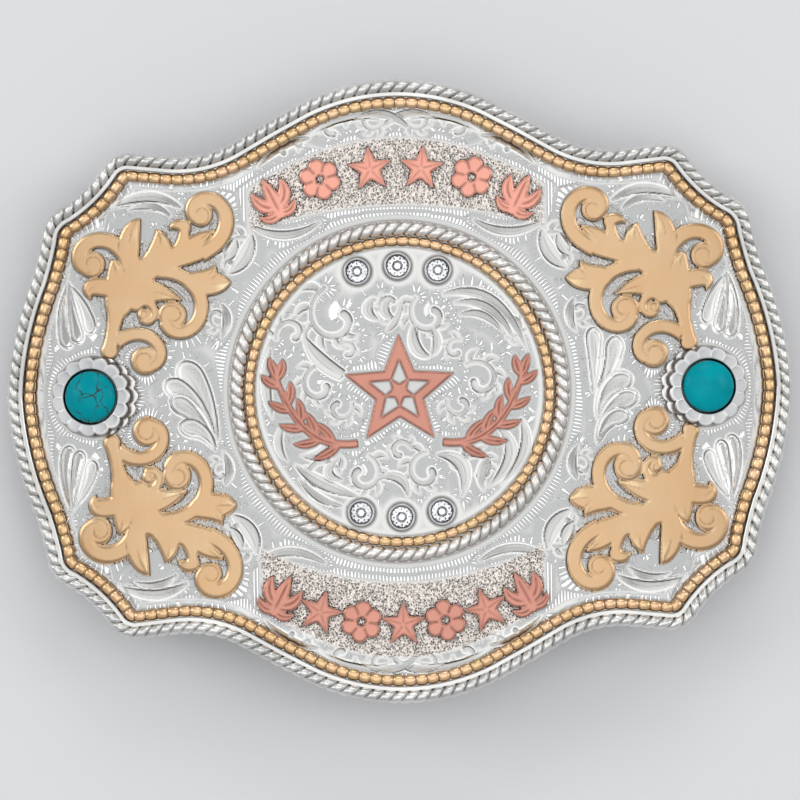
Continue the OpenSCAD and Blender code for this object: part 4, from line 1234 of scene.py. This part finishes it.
# The banners at the top (1) and the bottom (-1): height of the inner and of the outer arc in the middle, each with
# its fall over the square of x, and half the length
BANNERS = {1: (27.0, 0.0078, 36.6, 0.0155, 21.5), -1: (27.6, 0.0125, 38.4, 0.0185, 20.5)}


def banner(x, y, side):
    """Signed distance to a banner: between two arcs and within its ends."""
    low, low_fall, high, high_fall, end = BANNERS[side]
    v = y * side
    return np.maximum(np.maximum(low - low_fall * x**2 - v, v - (high - high_fall * x**2)), np.abs(x) - end)


def stone_places():
    """Middles of the six small round settings: rows of three above and below, the middle one farther out."""
    return [((i % 3 - 1) * STONE_X, (1 if i < 3 else -1) * (STONE_HIGH if i % 3 == 1 else STONE_LOW))
            for i in range(6)]


def face_piece(name, x0, x1, limits, edge, sizes, material):
    """Part of the face: columns across x and rows up to the outline, with a skirt and a ruled underside. It is worked
    out at half steps for its normals, and keeps every other row and column; where the run jumps between neighbours
    its cuts are left out."""
    step = sizes.face_step / MM
    cols = max(2, round((x1 - x0) / step)) * 2 + 1
    xs = np.linspace(x0, x1, cols)
    ys = np.maximum(np.interp(np.abs(xs), limits[:, 0], limits[:, 1]), 0.3)
    rows = max(2, round(2 * ys.max() / step)) * 2 + 1
    t = np.linspace(-1, 1, rows)
    x = np.broadcast_to(xs[:, None], (cols, rows)).copy()
    y = ys[:, None] * t[None, :]
    marks = face_marks(x, y, sizes, edge)
    p = over_face(x, y, marks["h"])
    n = unit(np.cross(np.gradient(p, axis=0), np.gradient(p, axis=1)))
    coarse = {k: v[::2, ::2] for k, v in marks.items()}
    p, n = p[::2, ::2], n[::2, ::2]
    run = coarse["run"]
    jump = np.zeros(run.shape, bool)
    for axis in (0, 1):
        big = np.abs(np.diff(run, axis=axis)) > 0.48
        for pad in ((0, 1), (1, 0)):
            jump |= np.pad(big, [pad if k == axis else (0, 0) for k in (0, 1)])
    coarse["narrow"] = np.where(jump, 0, coarse["narrow"])
    cols, rows = run.shape
    quads = grid_quads(cols, rows)
    base = np.arange(cols) * rows
    size = cols * rows
    ends = np.stack([-ys[::2], ys[::2]], axis=-1).ravel()
    low = over_face(np.repeat(xs[::2], 2), ends, np.full(2 * cols, -0.6))
    front, back = size + 2 * np.arange(cols), size + 2 * np.arange(cols) + 1
    i = np.arange(cols - 1)
    walls = [np.stack([base[i + 1], base[i], front[i], front[i + 1]], axis=-1),
             np.stack([base[i] + rows - 1, base[i + 1] + rows - 1, back[i + 1], back[i]], axis=-1),
             np.stack([back[i], back[i + 1], front[i + 1], front[i]], axis=-1)]
    caps = [[*(base[0] + np.arange(rows)), back[0], front[0]],
            [*(base[-1] + np.arange(rows))[::-1], front[-1], back[-1]]]
    values = {k: np.concatenate([coarse[k].ravel(), np.zeros(2 * cols)]) for k in coarse if k != "h"}
    normals = np.concatenate([n.reshape(-1, 3), np.tile([0.0, 0.0, -1.0], (2 * cols, 1))])
    return build(name, np.concatenate([p.reshape(-1, 3), low]), np.concatenate([quads[:, ::-1], *walls]), ngons=caps,
                 marks=values, normals=normals, material=material)


def plate_body(material):
    """Rim and back of the sheet: the outline scaled towards the middle in rings, closed at a pole on each side. Its
    upper side lies under the face's parts."""
    path = evenly(inward(outline(), 0.4), SHEET_STEPS)
    top = -0.55
    rings = [(0.3, top), (0.6, top), (0.85, top), (0.985, -0.5), (0.997, top), (1.0, -0.7),
             (1.0, 0.2 - PLATE_T), (0.997, 0.06 - PLATE_T), (0.99, -PLATE_T)]
    rings = np.array(rings + [(t, -PLATE_T) for t in np.linspace(0.96, 0.0, 15)[:-1]])
    x, y = rings[:, :1] * path[:, 0], rings[:, :1] * path[:, 1]
    p = over_face(x, y, np.broadcast_to(rings[:, 1:], x.shape)).reshape(-1, 3)
    poles = over_face(np.zeros(2), np.zeros(2), np.array([top, -PLATE_T]))
    return build("plate_body", np.concatenate([p, poles]), grid_quads(len(rings), len(path), wrap_cols=True),
                 pole_fans(len(rings), len(path)), sharp=50, material=material)


def rope(name, path, height, radius, lobes, flat, material):
    """Two strands laid round each other: the section is the outer edge of two ovals, turned half a turn a lobe and
    drawn in sideways by a share."""
    count = lobes * LOBE_STEPS
    path = evenly(path, count)
    phi = 2 * np.pi * np.arange(ROPE_SIDES) / ROPE_SIDES
    phi = phi + 0.28 * np.sin(2 * phi)
    offset, near_r, wide_r = 0.42 * radius, 0.58 * radius, 0.80 * radius
    c, s = np.abs(np.cos(phi)), np.abs(np.sin(phi))
    k = c**2 / near_r**2 + s**2 / wide_r**2
    r = (offset * c / near_r**2 + np.sqrt((offset * c / near_r**2) ** 2 - k * (offset**2 / near_r**2 - 1))) / k
    a = phi + np.pi * np.arange(count)[:, None] / LOBE_STEPS
    section = np.stack([flat * r * np.cos(a), r * np.sin(a)], axis=-1)
    cleft = np.broadcast_to(smooth(0.70, 0.55, r / radius), a.shape)
    return build(name, carried(path, height, section), grid_quads(count, ROPE_SIDES, True, True),
                 marks={"cleft": cleft}, material=material)


def strip(name, path, height, half, material):
    """A plain upright strip with softened upper edges, carried along a path: its section runs round six corners."""
    path = evenly(path, STRIP_STEPS)
    section = np.array([(-half, -height), (half, -height), (half, height - 0.1), (half - 0.1, height),
                        (0.1 - half, height), (-half, height - 0.1)])
    section = np.broadcast_to(section, (len(path), 6, 2))
    return build(name, carried(path, height + SEAT, section), grid_quads(len(path), 6, True, True), sharp=40,
                 material=material)


def beads(name, path, height, radius, count, seed, material):
    """A row of barrel beads: the radius of one closed tube dips between beads, and each bead has its own tint."""
    share = np.array([0.0, 0.06, 0.16, 0.36, 0.64, 0.84, 0.94])
    size = radius * np.array([0.70, 0.86, 0.96, 1.0, 1.0, 0.96, 0.86])
    # Dark at each bead's ends, in the dip between beads: painted shade, partly patina
    dark = np.array([0.9, 0.2, 0.0, 0.0, 0.0, 0.0, 0.2])
    path = evenly(path, count, (np.arange(count)[:, None] + share).ravel())
    phi = 2 * np.pi * np.arange(BEAD_SIDES) / BEAD_SIDES
    c, s = np.cos(phi), np.sin(phi)
    square = np.stack([np.sign(c) * np.abs(c) ** 0.78, np.sign(s) * np.abs(s) ** 0.9], axis=-1)
    section = np.tile(size, count)[:, None, None] * square
    # Painted shade: the lower side of each bead is darkened as well
    cleft = np.maximum(np.tile(dark, count)[:, None], smooth(-0.15, -0.7, s))
    tint = np.repeat(np.random.default_rng(seed).random(count), len(share))[:, None] * np.ones(BEAD_SIDES)
    return build(name, carried(path, height, section), grid_quads(len(path), BEAD_SIDES, True, True),
                 marks={"cleft": cleft, "tint": tint}, material=material)


def lobes_of(count):
    """Radius of a scalloped circle over its own greatest radius, as a function of angle."""
    lobe = math.sin(math.pi / count) * 1.02
    inner = 1 - lobe

    def follow(a):
        step = 2 * np.pi / count
        off = (a + step / 2) % step - step / 2
        return inner * np.cos(off) + np.sqrt(np.maximum(lobe**2 - (inner * np.sin(off)) ** 2, 0))

    return follow


def plain_round(a):
    """The lobes of a plain circle: 1 at every angle."""
    return np.ones(a.shape)


# Profiles of turned pieces from the underside up and round: radius, height, and how far they follow the lobes
COLLAR_PROFILE = np.array([
    (0.0, 0.0, 0), (3.0, 0.0, 0), (5.55, 0.0, 1), (5.75, 0.12, 1), (5.75, 0.62, 1), (5.6, 0.78, 1),
    (5.0, 0.86, 0.6), (4.95, 1.25, 0.6), (5.45, 1.42, 1), (5.78, 1.62, 1), (5.85, 1.92, 1), (5.82, 2.16, 1),
    (5.72, 2.28, 1), (5.55, 2.32, 1), (5.25, 2.31, 0.9), (4.85, 2.29, 0.7), (4.5, 2.28, 0.4), (4.2, 2.28, 0.15),
    (4.04, 2.25, 0), (3.97, 2.15, 0), (3.92, 1.7, 0), (3.80, 1.5, 0), (3.78, 1.02, 0), (2.0, 1.0, 0), (0.0, 1.0, 0)])
PLATE_PROFILE = np.array([
    (0.0, 0.95, 0), (5.6, 0.95, 1), (5.72, 1.0, 1), (5.76, 1.1, 1), (5.7, 1.2, 1), (5.55, 1.25, 1), (5.4, 1.25, 1),
    (5.2, 1.25, 1), (5.0, 1.25, 1), (4.7, 1.25, 1), (0.0, 1.24, 0)])
BEZEL_PROFILE = np.array([
    (1.1, 0.0, 0), (1.95, 0.0, 0), (2.05, 0.1, 0), (2.05, 0.4, 0), (2.0, 1.2, 0), (2.0, 1.6, 0), (1.93, 1.76, 0),
    (1.8, 1.8, 0), (1.66, 1.74, 0), (1.56, 1.6, 0), (1.54, 1.3, 0), (1.53, 1.14, 0), (1.2, 0.6, 0), (1.1, 0.5, 0)])
# Painted shade on each ring of the bezel's profile: dark at its foot and up its outer wall, and on the inner wall round
# the stone
BEZEL_CLEFT = np.array([1, 1, 0.8, 0.4, 0.1, 0, 0, 0, 0, 0.5, 0.6, 0.3, 0, 0.2])


def turned_solid(name, profile, turns, follow, place, shape=None, marks=None, sharp=60, material=None):
    """A solid of revolution whose profile starts and ends on the axis. The two poles close it; shape moves points and
    marks gives values, each from radius, height and angle."""
    p = stations(profile[1:-1], turns, follow)
    a = np.broadcast_to(2 * np.pi * np.arange(turns) / turns, p.shape[:2])
    radius, height = (np.broadcast_to(profile[1:-1, i, None], a.shape) for i in (0, 1))
    if shape:
        p[..., 2] += shape(radius, height, a)
    rows = len(profile) - 2
    ends = np.array([[0, 0, profile[0, 1]], [0, 0, profile[-1, 1]]])
    values = marks(radius, height, a) if marks else {}
    values = {key: np.concatenate([v.ravel(), [0, 0]]) for key, v in values.items()}
    return build(name, on_face(np.concatenate([p.reshape(-1, 3), ends]), *place),
                 grid_quads(rows, turns, wrap_cols=True), pole_fans(rows, turns), marks=values, sharp=sharp,
                 material=material)


def collar(name, side, sizes, material):
    """A turquoise collar: a scalloped foot, a waist, dished petals with raised borders and a cup for the stone. The
    borders are painted lighter as a highlight, and the waist and the cup darker as shade.
    """
    step = 2 * np.pi / sizes.petals

    def across(a):
        return np.abs((a + step / 2) % step - step / 2) / (step / 2)

    def petal(radius, height):
        return smooth(4.0, 4.4, radius) * (height > 1.8)

    def shape(radius, height, a):
        return petal(radius, height) * (0.05 * across(a) ** 6 - 0.025 * smooth(0.0, 1.0, 1 - across(a)))

    def marks(radius, height, a):
        # Painted highlight on the borders and outer edge; painted shade in the waist and in the cup round the stone
        bright = np.maximum(smooth(0.84, 0.98, across(a)), smooth(5.45, 5.65, radius)) * petal(radius, height)
        low = smooth(0.7, 0.8, height) * smooth(1.6, 1.4, height)
        cup = smooth(4.03, 3.96, radius) * (height > 0.9)
        return {"tint": bright, "cleft": np.maximum(low, cup)}

    return turned_solid(name, COLLAR_PROFILE, sizes.petals * PETAL_STEPS, lobes_of(sizes.petals),
                        (side * SETTING_X, 0), shape, marks, material=material)


def collar_plate(name, side, sizes, material):
    """The scalloped plate that shows beside a collar on the side of the middle, a thin disc moved that way."""
    follow = lobes_of(sizes.petals)

    def marks(radius, height, a):
        reach = radius * follow(a)
        x, y = reach * np.cos(a) - side * PLATE_SHIFT, reach * np.sin(a)
        # Painted shadow: the plate is darkened under the collar's edge and just beyond it
        return {"cleft": smooth(0.45, 0.3, np.hypot(x, y) - 5.85 * follow(np.arctan2(y, x)))}

    return turned_solid(name, PLATE_PROFILE, sizes.petals * PLATE_STEPS, follow,
                        (side * (SETTING_X - PLATE_SHIFT), 0), marks=marks, material=material)


def cabochon(name, side, material):
    """A round stone: a low dome on a short girdle."""
    t = np.linspace(0, 1, 22)
    radius = np.concatenate([CABOCHON_R * np.sin(t * np.pi / 2), [3.66, 3.5, 0.0]])
    height = CABOCHON_FOOT + np.concatenate([GIRDLE_UP + DOME_UP * np.cos(t * np.pi / 2) ** 1.15, [0.2, 0.0, 0.0]])
    profile = np.stack([radius, height, np.zeros(len(radius))], axis=-1)
    return turned_solid(name, profile, CABOCHON_STEPS, plain_round, (side * SETTING_X, 0), material=material)


def bezel(name, x, y, material):
    """A small tube with a rolled rim, a bright inner slope and a ledge for the stone."""
    p = stations(BEZEL_PROFILE, BEZEL_STEPS, plain_round)
    return build(name, on_face(p, x, y), grid_quads(len(p), BEZEL_STEPS, True, True),
                 marks={"cleft": BEZEL_CLEFT[:, None] * np.ones(BEZEL_STEPS)}, sharp=50, material=material)


def brilliant(name, x, y, seed, material):
    """A round cut: an eight-sided table, eight star and kite facets, sixteen crown facets, a girdle, sixteen long
    facets and eight kites below it, each one painted a little darker or lighter than the next as a reflection."""
    r, girdle = 1.5, 1.34
    top, culet = girdle + 0.12, 0.16
    a16 = 2 * np.pi * np.arange(16) / 16
    a8 = 2 * np.pi * np.arange(8) / 8

    def ring(radius, height, angles):
        return np.stack([radius * np.cos(angles), radius * np.sin(angles), np.full(len(angles), height)], axis=-1)

    p = np.concatenate([ring(r * 0.56, top + 0.5, a8), ring(r * 0.80, top + 0.28, a8 + np.pi / 8), ring(r, top, a16),
                        ring(r, girdle, a16), ring(r * 0.30, culet + 0.36 * (girdle - culet), a8), [[0, 0, culet]]])
    i, k = np.arange(8), np.arange(16)
    j, even, odd, after = (i + 1) % 8, 2 * i, 2 * i + 1, (2 * i + 2) % 16
    next_k = (k + 1) % 16
    kites = [(j, 8 + i, 16 + after, 8 + j), (16 + k, 32 + k, 32 + next_k, 16 + next_k),
             (48 + i, 56 + 0 * i, 48 + j, 32 + odd)]
    facets = [(i, 8 + i, j), (8 + i, 16 + even, 16 + odd), (8 + i, 16 + odd, 16 + after),
              (32 + even, 48 + i, 32 + odd), (32 + odd, 48 + j, 32 + after)]
    quads, tris = (np.concatenate([np.stack(corners, axis=-1) for corners in made]) for made in (kites, facets))
    rng = np.random.default_rng(seed)
    # Painted reflection: how dark each facet is made
    crown = rng.choice([0.0, 0.0, 0.1, 0.35], 8)
    dark = np.concatenate([
        crown, np.full(16, 0.2), rng.choice([0.0, 0.3, 0.7, 1.0], 8), rng.choice([0.0, 0.1, 0.3], 8),
        rng.choice([0.0, 0.0, 0.2, 0.5], 16), rng.choice([0.0, 0.0, 0.4, 1.0], 16), [0.0]])
    return build(name, on_face(turned_in_plan(p, 23 * seed), x, y), quads, tris, ngons=[list(range(8))], facets=dark,
                 sharp=0, material=material)


def plan_grid(low, high, step):
    """A square grid of plan points that covers a box."""
    return np.meshgrid(np.arange(low[0], high[0] + step, step), np.arange(low[1], high[1] + step, step))


# Operators


MATERIALS = {}


def material_for(name, context):
    """One of the buckle's materials, built the first time that it is asked for."""
    colours = context.scene.buckle_colours

    silver, aged, turquoise = colours.silver, colours.aged, colours.turquoise

    def copper(label, light, dark):
        return metal(label, rgb(colours.copper, light), rgb(colours.copper, dark), "groove", 0.30, 0.12,
                     colours.oxide_and_shade, rim=0.15)

    makers = {
        "face": lambda: face_material(colours),
        "back": lambda: metal("Satin silver", aged, rgb(aged, 0.85), roughness=0.38, spread=0.2, depth=0.00003),
        "edge_rope": lambda: metal("Bright rope", rgb(silver, 0.93), rgb(silver, 0.72), "cleft", 0.32, 0.14,
                                   (0.30, 0.30, 0.31)),
        "ring_rope": lambda: metal("Aged rope", (0.95, 0.92, 0.89), (0.78, 0.76, 0.73), "cleft", 0.36, 0.15,
                                   (0.24, 0.22, 0.21)),
        "beads": lambda: metal("Bead bronze", rgb(colours.gold, 0.93), (0.80, 0.52, 0.27), "cleft", 0.30, 0.1,
                               (0.19, 0.105, 0.05), tint=(0.95, 0.64, 0.43)),
        # Its tint colour is the overlays' painted highlight
        "bronze": lambda: metal("Overlay bronze", rgb(colours.bronze, 0.95), (0.64, 0.41, 0.225), "groove", 0.30,
                                0.12, (0.13, 0.06, 0.03), grain=1500.0, depth=0.000008, tint=(0.95, 0.74, 0.45),
                                rim=0.1),
        # Painted light: the upper row's copper is a lit copy, lighter than the lower row's
        "lit_copper": lambda: copper("Lit copper", 1.16, 1.10),
        "copper": lambda: copper("Copper", 0.92, 0.82),
        "dark_copper": lambda: copper("Dark copper", 0.85, 0.75),
        # Its tint colour is the petals' painted highlight, and its dark colour their painted shade
        "collar": lambda: metal("Collar silver", (0.61, 0.61, 0.61), (0.53, 0.53, 0.54), "cleft", 0.36, 0.15,
                                (0.04, 0.035, 0.04), tint=(0.97, 0.97, 0.96)),
        "hardware": lambda: metal("Hardware silver", aged, rgb(aged, 0.8), roughness=0.33, spread=0.18,
                                  depth=0.00003),
        "veined": lambda: turquoise_material("Veined turquoise", rgb(turquoise, 1.12), 0.47, (0.045, 0.06, 0.055),
                                             (0.0, 0.345, 0.40)),
        "plain": lambda: turquoise_material("Plain turquoise", turquoise, 0.12, (0.02, 0.20, 0.22),
                                            (0.0, 0.43, 0.50)),
        "stone": stone_material}
    if name not in MATERIALS:
        MATERIALS[name] = makers[name]()
    return MATERIALS[name]


class BUCKLE_OT_plate(bpy.types.Operator):
    """Build the engraved face in six parts, and the rim and back of the sheet"""

    bl_idname = "buckle.plate"
    bl_label = "Engraved plate"

    def execute(self, context):
        limits = inward(outline(0.5), 0.5)
        limits = limits[(limits[:, 1] >= 0) & (limits[:, 0] >= 0)]
        limits = limits[np.argsort(limits[:, 0])]
        cuts = (0, *FACE_CUTS, limits[-1, 0] - 0.02)
        edge = edge_table(outline(0.5))
        material = material_for("face", context)
        for i, part in enumerate(("middle_", "", "end_")):
            for end, x0, x1 in (("left", -cuts[i + 1], -cuts[i]), ("right", cuts[i], cuts[i + 1])):
                made = face_piece(f"face_{part}{end}", x0, x1, limits, edge, context.scene.buckle_sizes, material)
                finish_piece(made, "silver", "base_plate")
        finish_piece(plate_body(material_for("back", context)), "silver", "base_plate")
        return {"FINISHED"}


class BUCKLE_OT_edges(bpy.types.Operator):
    """Lay the twisted ropes and the rows of barrel beads round the edge and the middle"""

    bl_idname = "buckle.edges"
    bl_label = "Ropes and beads"

    def execute(self, context):
        sizes = context.scene.buckle_sizes
        edge = outline()
        bright, aged, bronze = (material_for(name, context) for name in ("edge_rope", "ring_rope", "beads"))
        finish_piece(rope("edge_rope_wire", inward(edge, ROPE_INSET), ROPE_R + SEAT, ROPE_R, sizes.edge_lobes,
                          ROPE_FLAT, bright), "silver", "edge_rope")
        finish_piece(strip("edge_rope_strip", inward(edge, STRIP_INSET), STRIP_H, STRIP_HALF, bright), "silver",
                     "edge_rope")
        finish_piece(rope("center_rope_wire", circle(RING_R - RING_ROPE_R), RING_ROPE_R + SEAT, RING_ROPE_R,
                          sizes.ring_lobes, 1.0, aged), "aged_silver", "center_rope")
        finish_piece(beads("edge_bead_row", inward(edge, BEAD_INSET), BEAD_R + SEAT, BEAD_R, sizes.edge_beads, 5,
                           bronze), "bronze", "edge_beads")
        finish_piece(beads("center_bead_row", circle(RING_BEADS_AT), RING_BEAD_R + SEAT, RING_BEAD_R,
                           sizes.ring_beads, 9, bronze), "bronze", "center_beads")
        return {"FINISHED"}


class BUCKLE_OT_scrolls(bpy.types.Operator):
    """Cut the four pierced scroll overlays"""

    bl_idname = "buckle.scrolls"
    bl_label = "Scroll overlays"

    def execute(self, context):
        sizes = context.scene.buckle_sizes
        step = sizes.piece_step / MM
        x, y = plan_grid(*SCROLL_BOX, step)
        for name, place in SCROLL_PLACES.items():
            side, top = place[:2]
            f, groove, fold = scroll_field(*scroll_frame(x * side, y * top, place))
            up, right = np.gradient(f, step)
            lean = 0.8 * up * top - 0.6 * right * side
            # Painted highlight on the upper left edges and the folded tips, and painted shadow on the lower right edges
            light = 0.9 * np.exp(-((f + 0.17) / 0.11) ** 2) * smooth(-0.2, 0.6, lean)
            dark = 0.4 * np.exp(-((f + 0.06) / 0.09) ** 2) * smooth(0.2, -0.6, lean)
            values = {"groove": np.maximum(groove, dark), "tint": np.maximum(fold, light)}
            made = applied_piece(name + "_plate", x * side, y * top, f, -0.13 * groove + 0.07 * fold, values, SCROLL_T,
                                 sizes.bevel / MM, material_for("bronze", context))
            finish_piece(made, "bronze", name)
        return {"FINISHED"}


class BUCKLE_OT_copper(bpy.types.Operator):
    """Cut the middle star, the laurels and the two rows of small pieces"""

    bl_idname = "buckle.copper"
    bl_label = "Copper pieces"

    def execute(self, context):
        sizes = context.scene.buckle_sizes
        step = sizes.piece_step / MM
        bevel = 0.8 * sizes.bevel / MM

        def cut(name, look, x, y, f, vein, depth):
            made = applied_piece(name + "_plate", x, y, f, -0.1 * vein, {"groove": depth * vein}, MOTIF_T, bevel,
                                 material_for(look, context))
            finish_piece(made, "copper", name)

        x, y = plan_grid(*STAR_BOX, step)
        f = star_field(x, y)
        cut("center_star", "dark_copper", x, y, f, 0 * f, 0)
        x, y = plan_grid(*LAUREL_BOX, step)
        for name, side in (("laurel_left", -1), ("laurel_right", 1)):
            cut(name, "dark_copper", x * side, y, *strokes_field(x, y, laurel_strokes(), 0.1), 0.7)
        for name, kind, cx, cy, turn in row_places():
            x, y = plan_grid((cx - MOTIF_REACH, cy - MOTIF_REACH), (cx + MOTIF_REACH, cy + MOTIF_REACH), step)
            p = turned(np.stack([x - cx, y - cy], axis=-1), -turn)
            cut(name, "lit_copper" if cy > 0 else "copper", x, y, *motif_field(kind, p[..., 0], p[..., 1]), 0.6)
        return {"FINISHED"}


class BUCKLE_OT_settings(bpy.types.Operator):
    """Build the turquoise settings, the small bezels and their stones"""

    bl_idname = "buckle.settings"
    bl_label = "Settings and stones"

    def execute(self, context):
        sizes = context.scene.buckle_sizes
        silver, aged, clear = (material_for(name, context) for name in ("collar", "ring_rope", "stone"))
        for end, side, look in (("left", -1, "veined"), ("right", 1, "plain")):
            finish_piece(collar(f"collar_{end}", side, sizes, silver), "aged_silver", f"setting_{end}")
            finish_piece(collar_plate(f"collar_plate_{end}", side, sizes, aged), "aged_silver", f"setting_{end}")
            finish_piece(cabochon(f"cabochon_{end}", side, material_for(look, context)), "turquoise",
                         f"turquoise_{end}")
        for i, (x, y) in enumerate(stone_places(), start=1):
            finish_piece(bezel(f"bezel_{i}", x, y, silver), "aged_silver", f"stone_bezel_{i}")
            finish_piece(brilliant(f"brilliant_{i}", x, y, i, clear), "clear_stone", f"round_stone_{i}")
        return {"FINISHED"}


class BUCKLE_OT_back(bpy.types.Operator):
    """Give the belt loop and the belt hook their satin silver"""

    bl_idname = "buckle.back"
    bl_label = "Back hardware"

    def execute(self, context):
        for node in ("belt_loop", "belt_hook"):
            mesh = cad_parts[node].data
            mesh.materials.clear()
            mesh.materials.append(material_for("hardware", context))
        return {"FINISHED"}


class BUCKLE_OT_stage(bpy.types.Operator):
    """Make the floor, the lights and the camera"""

    bl_idname = "buckle.stage"
    bl_label = "Stage"

    def execute(self, context):
        scene = context.scene
        colour = (*rgb(scene.buckle_colours.floor), 1.0)
        floor = new_material("Plain floor", Roughness=0.75, **{"Base Color": colour})[0]
        mesh = bpy.data.meshes.new("floor")
        corners = [(x * FLOOR_HALF, y * FLOOR_HALF, 0.0) for x, y in ((-1, -1), (1, -1), (1, 1), (-1, 1))]
        mesh.from_pydata(corners, [], [(0, 1, 2, 3)])
        mesh.materials.append(floor)
        ground = bpy.data.objects.new("floor", mesh)
        scene.collection.objects.link(ground)

        world = bpy.data.worlds.new("Studio")
        world.use_nodes = True
        air = world.node_tree.nodes["Background"]
        air.inputs["Color"].default_value = (0.60, 0.61, 0.62, 1.0)
        air.inputs["Strength"].default_value = 0.8
        scene.world = world
        for name, place, size, power in LIGHTS:
            data = bpy.data.lights.new(name, "AREA")
            data.shape = "DISK"
            data.size = size
            data.energy = power
            light = bpy.data.objects.new(name, data)
            light.location = place
            x, y, z = np.array([0.0, 0.0, 0.01]) - np.array(place)
            light.rotation_euler = (math.atan2(math.hypot(x, y), -z), 0.0, math.atan2(x, -y) + math.pi)
            scene.collection.objects.link(light)

        data = bpy.data.cameras.new("camera")
        data.sensor_width = SENSOR
        data.lens = SENSOR * CAMERA_UP / VIEW_WIDTH
        data.clip_start = 0.05
        data.clip_end = 20.0
        camera = bpy.data.objects.new("camera", data)
        camera.location = (CAMERA_X, CAMERA_Y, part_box("base_plate")[1].z + CAMERA_UP)
        camera.rotation_euler = (0.0, 0.0, CAMERA_ROLL)
        scene.collection.objects.link(camera)
        scene.camera = camera
        scene.view_settings.view_transform = "Standard"
        return {"FINISHED"}


class BUCKLE_PT_panel(bpy.types.Panel):
    """Lists the buckle's sizes, colours and steps"""

    bl_idname = "BUCKLE_PT_panel"
    bl_label = "Buckle"
    bl_space_type = "VIEW_3D"
    bl_region_type = "UI"
    bl_category = "Buckle"

    def draw(self, context):
        layout = self.layout
        for settings in (context.scene.buckle_sizes, context.scene.buckle_colours):
            for key in type(settings).__annotations__:
                layout.prop(settings, key)
        for step in STEPS:
            layout.operator(step.bl_idname)


STEPS = (BUCKLE_OT_plate, BUCKLE_OT_edges, BUCKLE_OT_scrolls, BUCKLE_OT_copper, BUCKLE_OT_settings, BUCKLE_OT_back,
         BUCKLE_OT_stage)
CLASSES = (BuckleSizes, BuckleColours, *STEPS, BUCKLE_PT_panel)


def register():
    """Adds the classes, and the sizes and colours to every scene."""
    for cls in CLASSES:
        bpy.utils.register_class(cls)
    bpy.types.Scene.buckle_sizes = PointerProperty(type=BuckleSizes)
    bpy.types.Scene.buckle_colours = PointerProperty(type=BuckleColours)


def unregister():
    """Takes away what register adds."""
    del bpy.types.Scene.buckle_colours
    del bpy.types.Scene.buckle_sizes
    for cls in reversed(CLASSES):
        bpy.utils.unregister_class(cls)


def main():
    """Builds the pieces and the stage in order."""
    register()
    for step in STEPS:
        area, verb = step.bl_idname.split(".")
        getattr(getattr(bpy.ops, area), verb)()


if __name__ == "__main__":
    main()
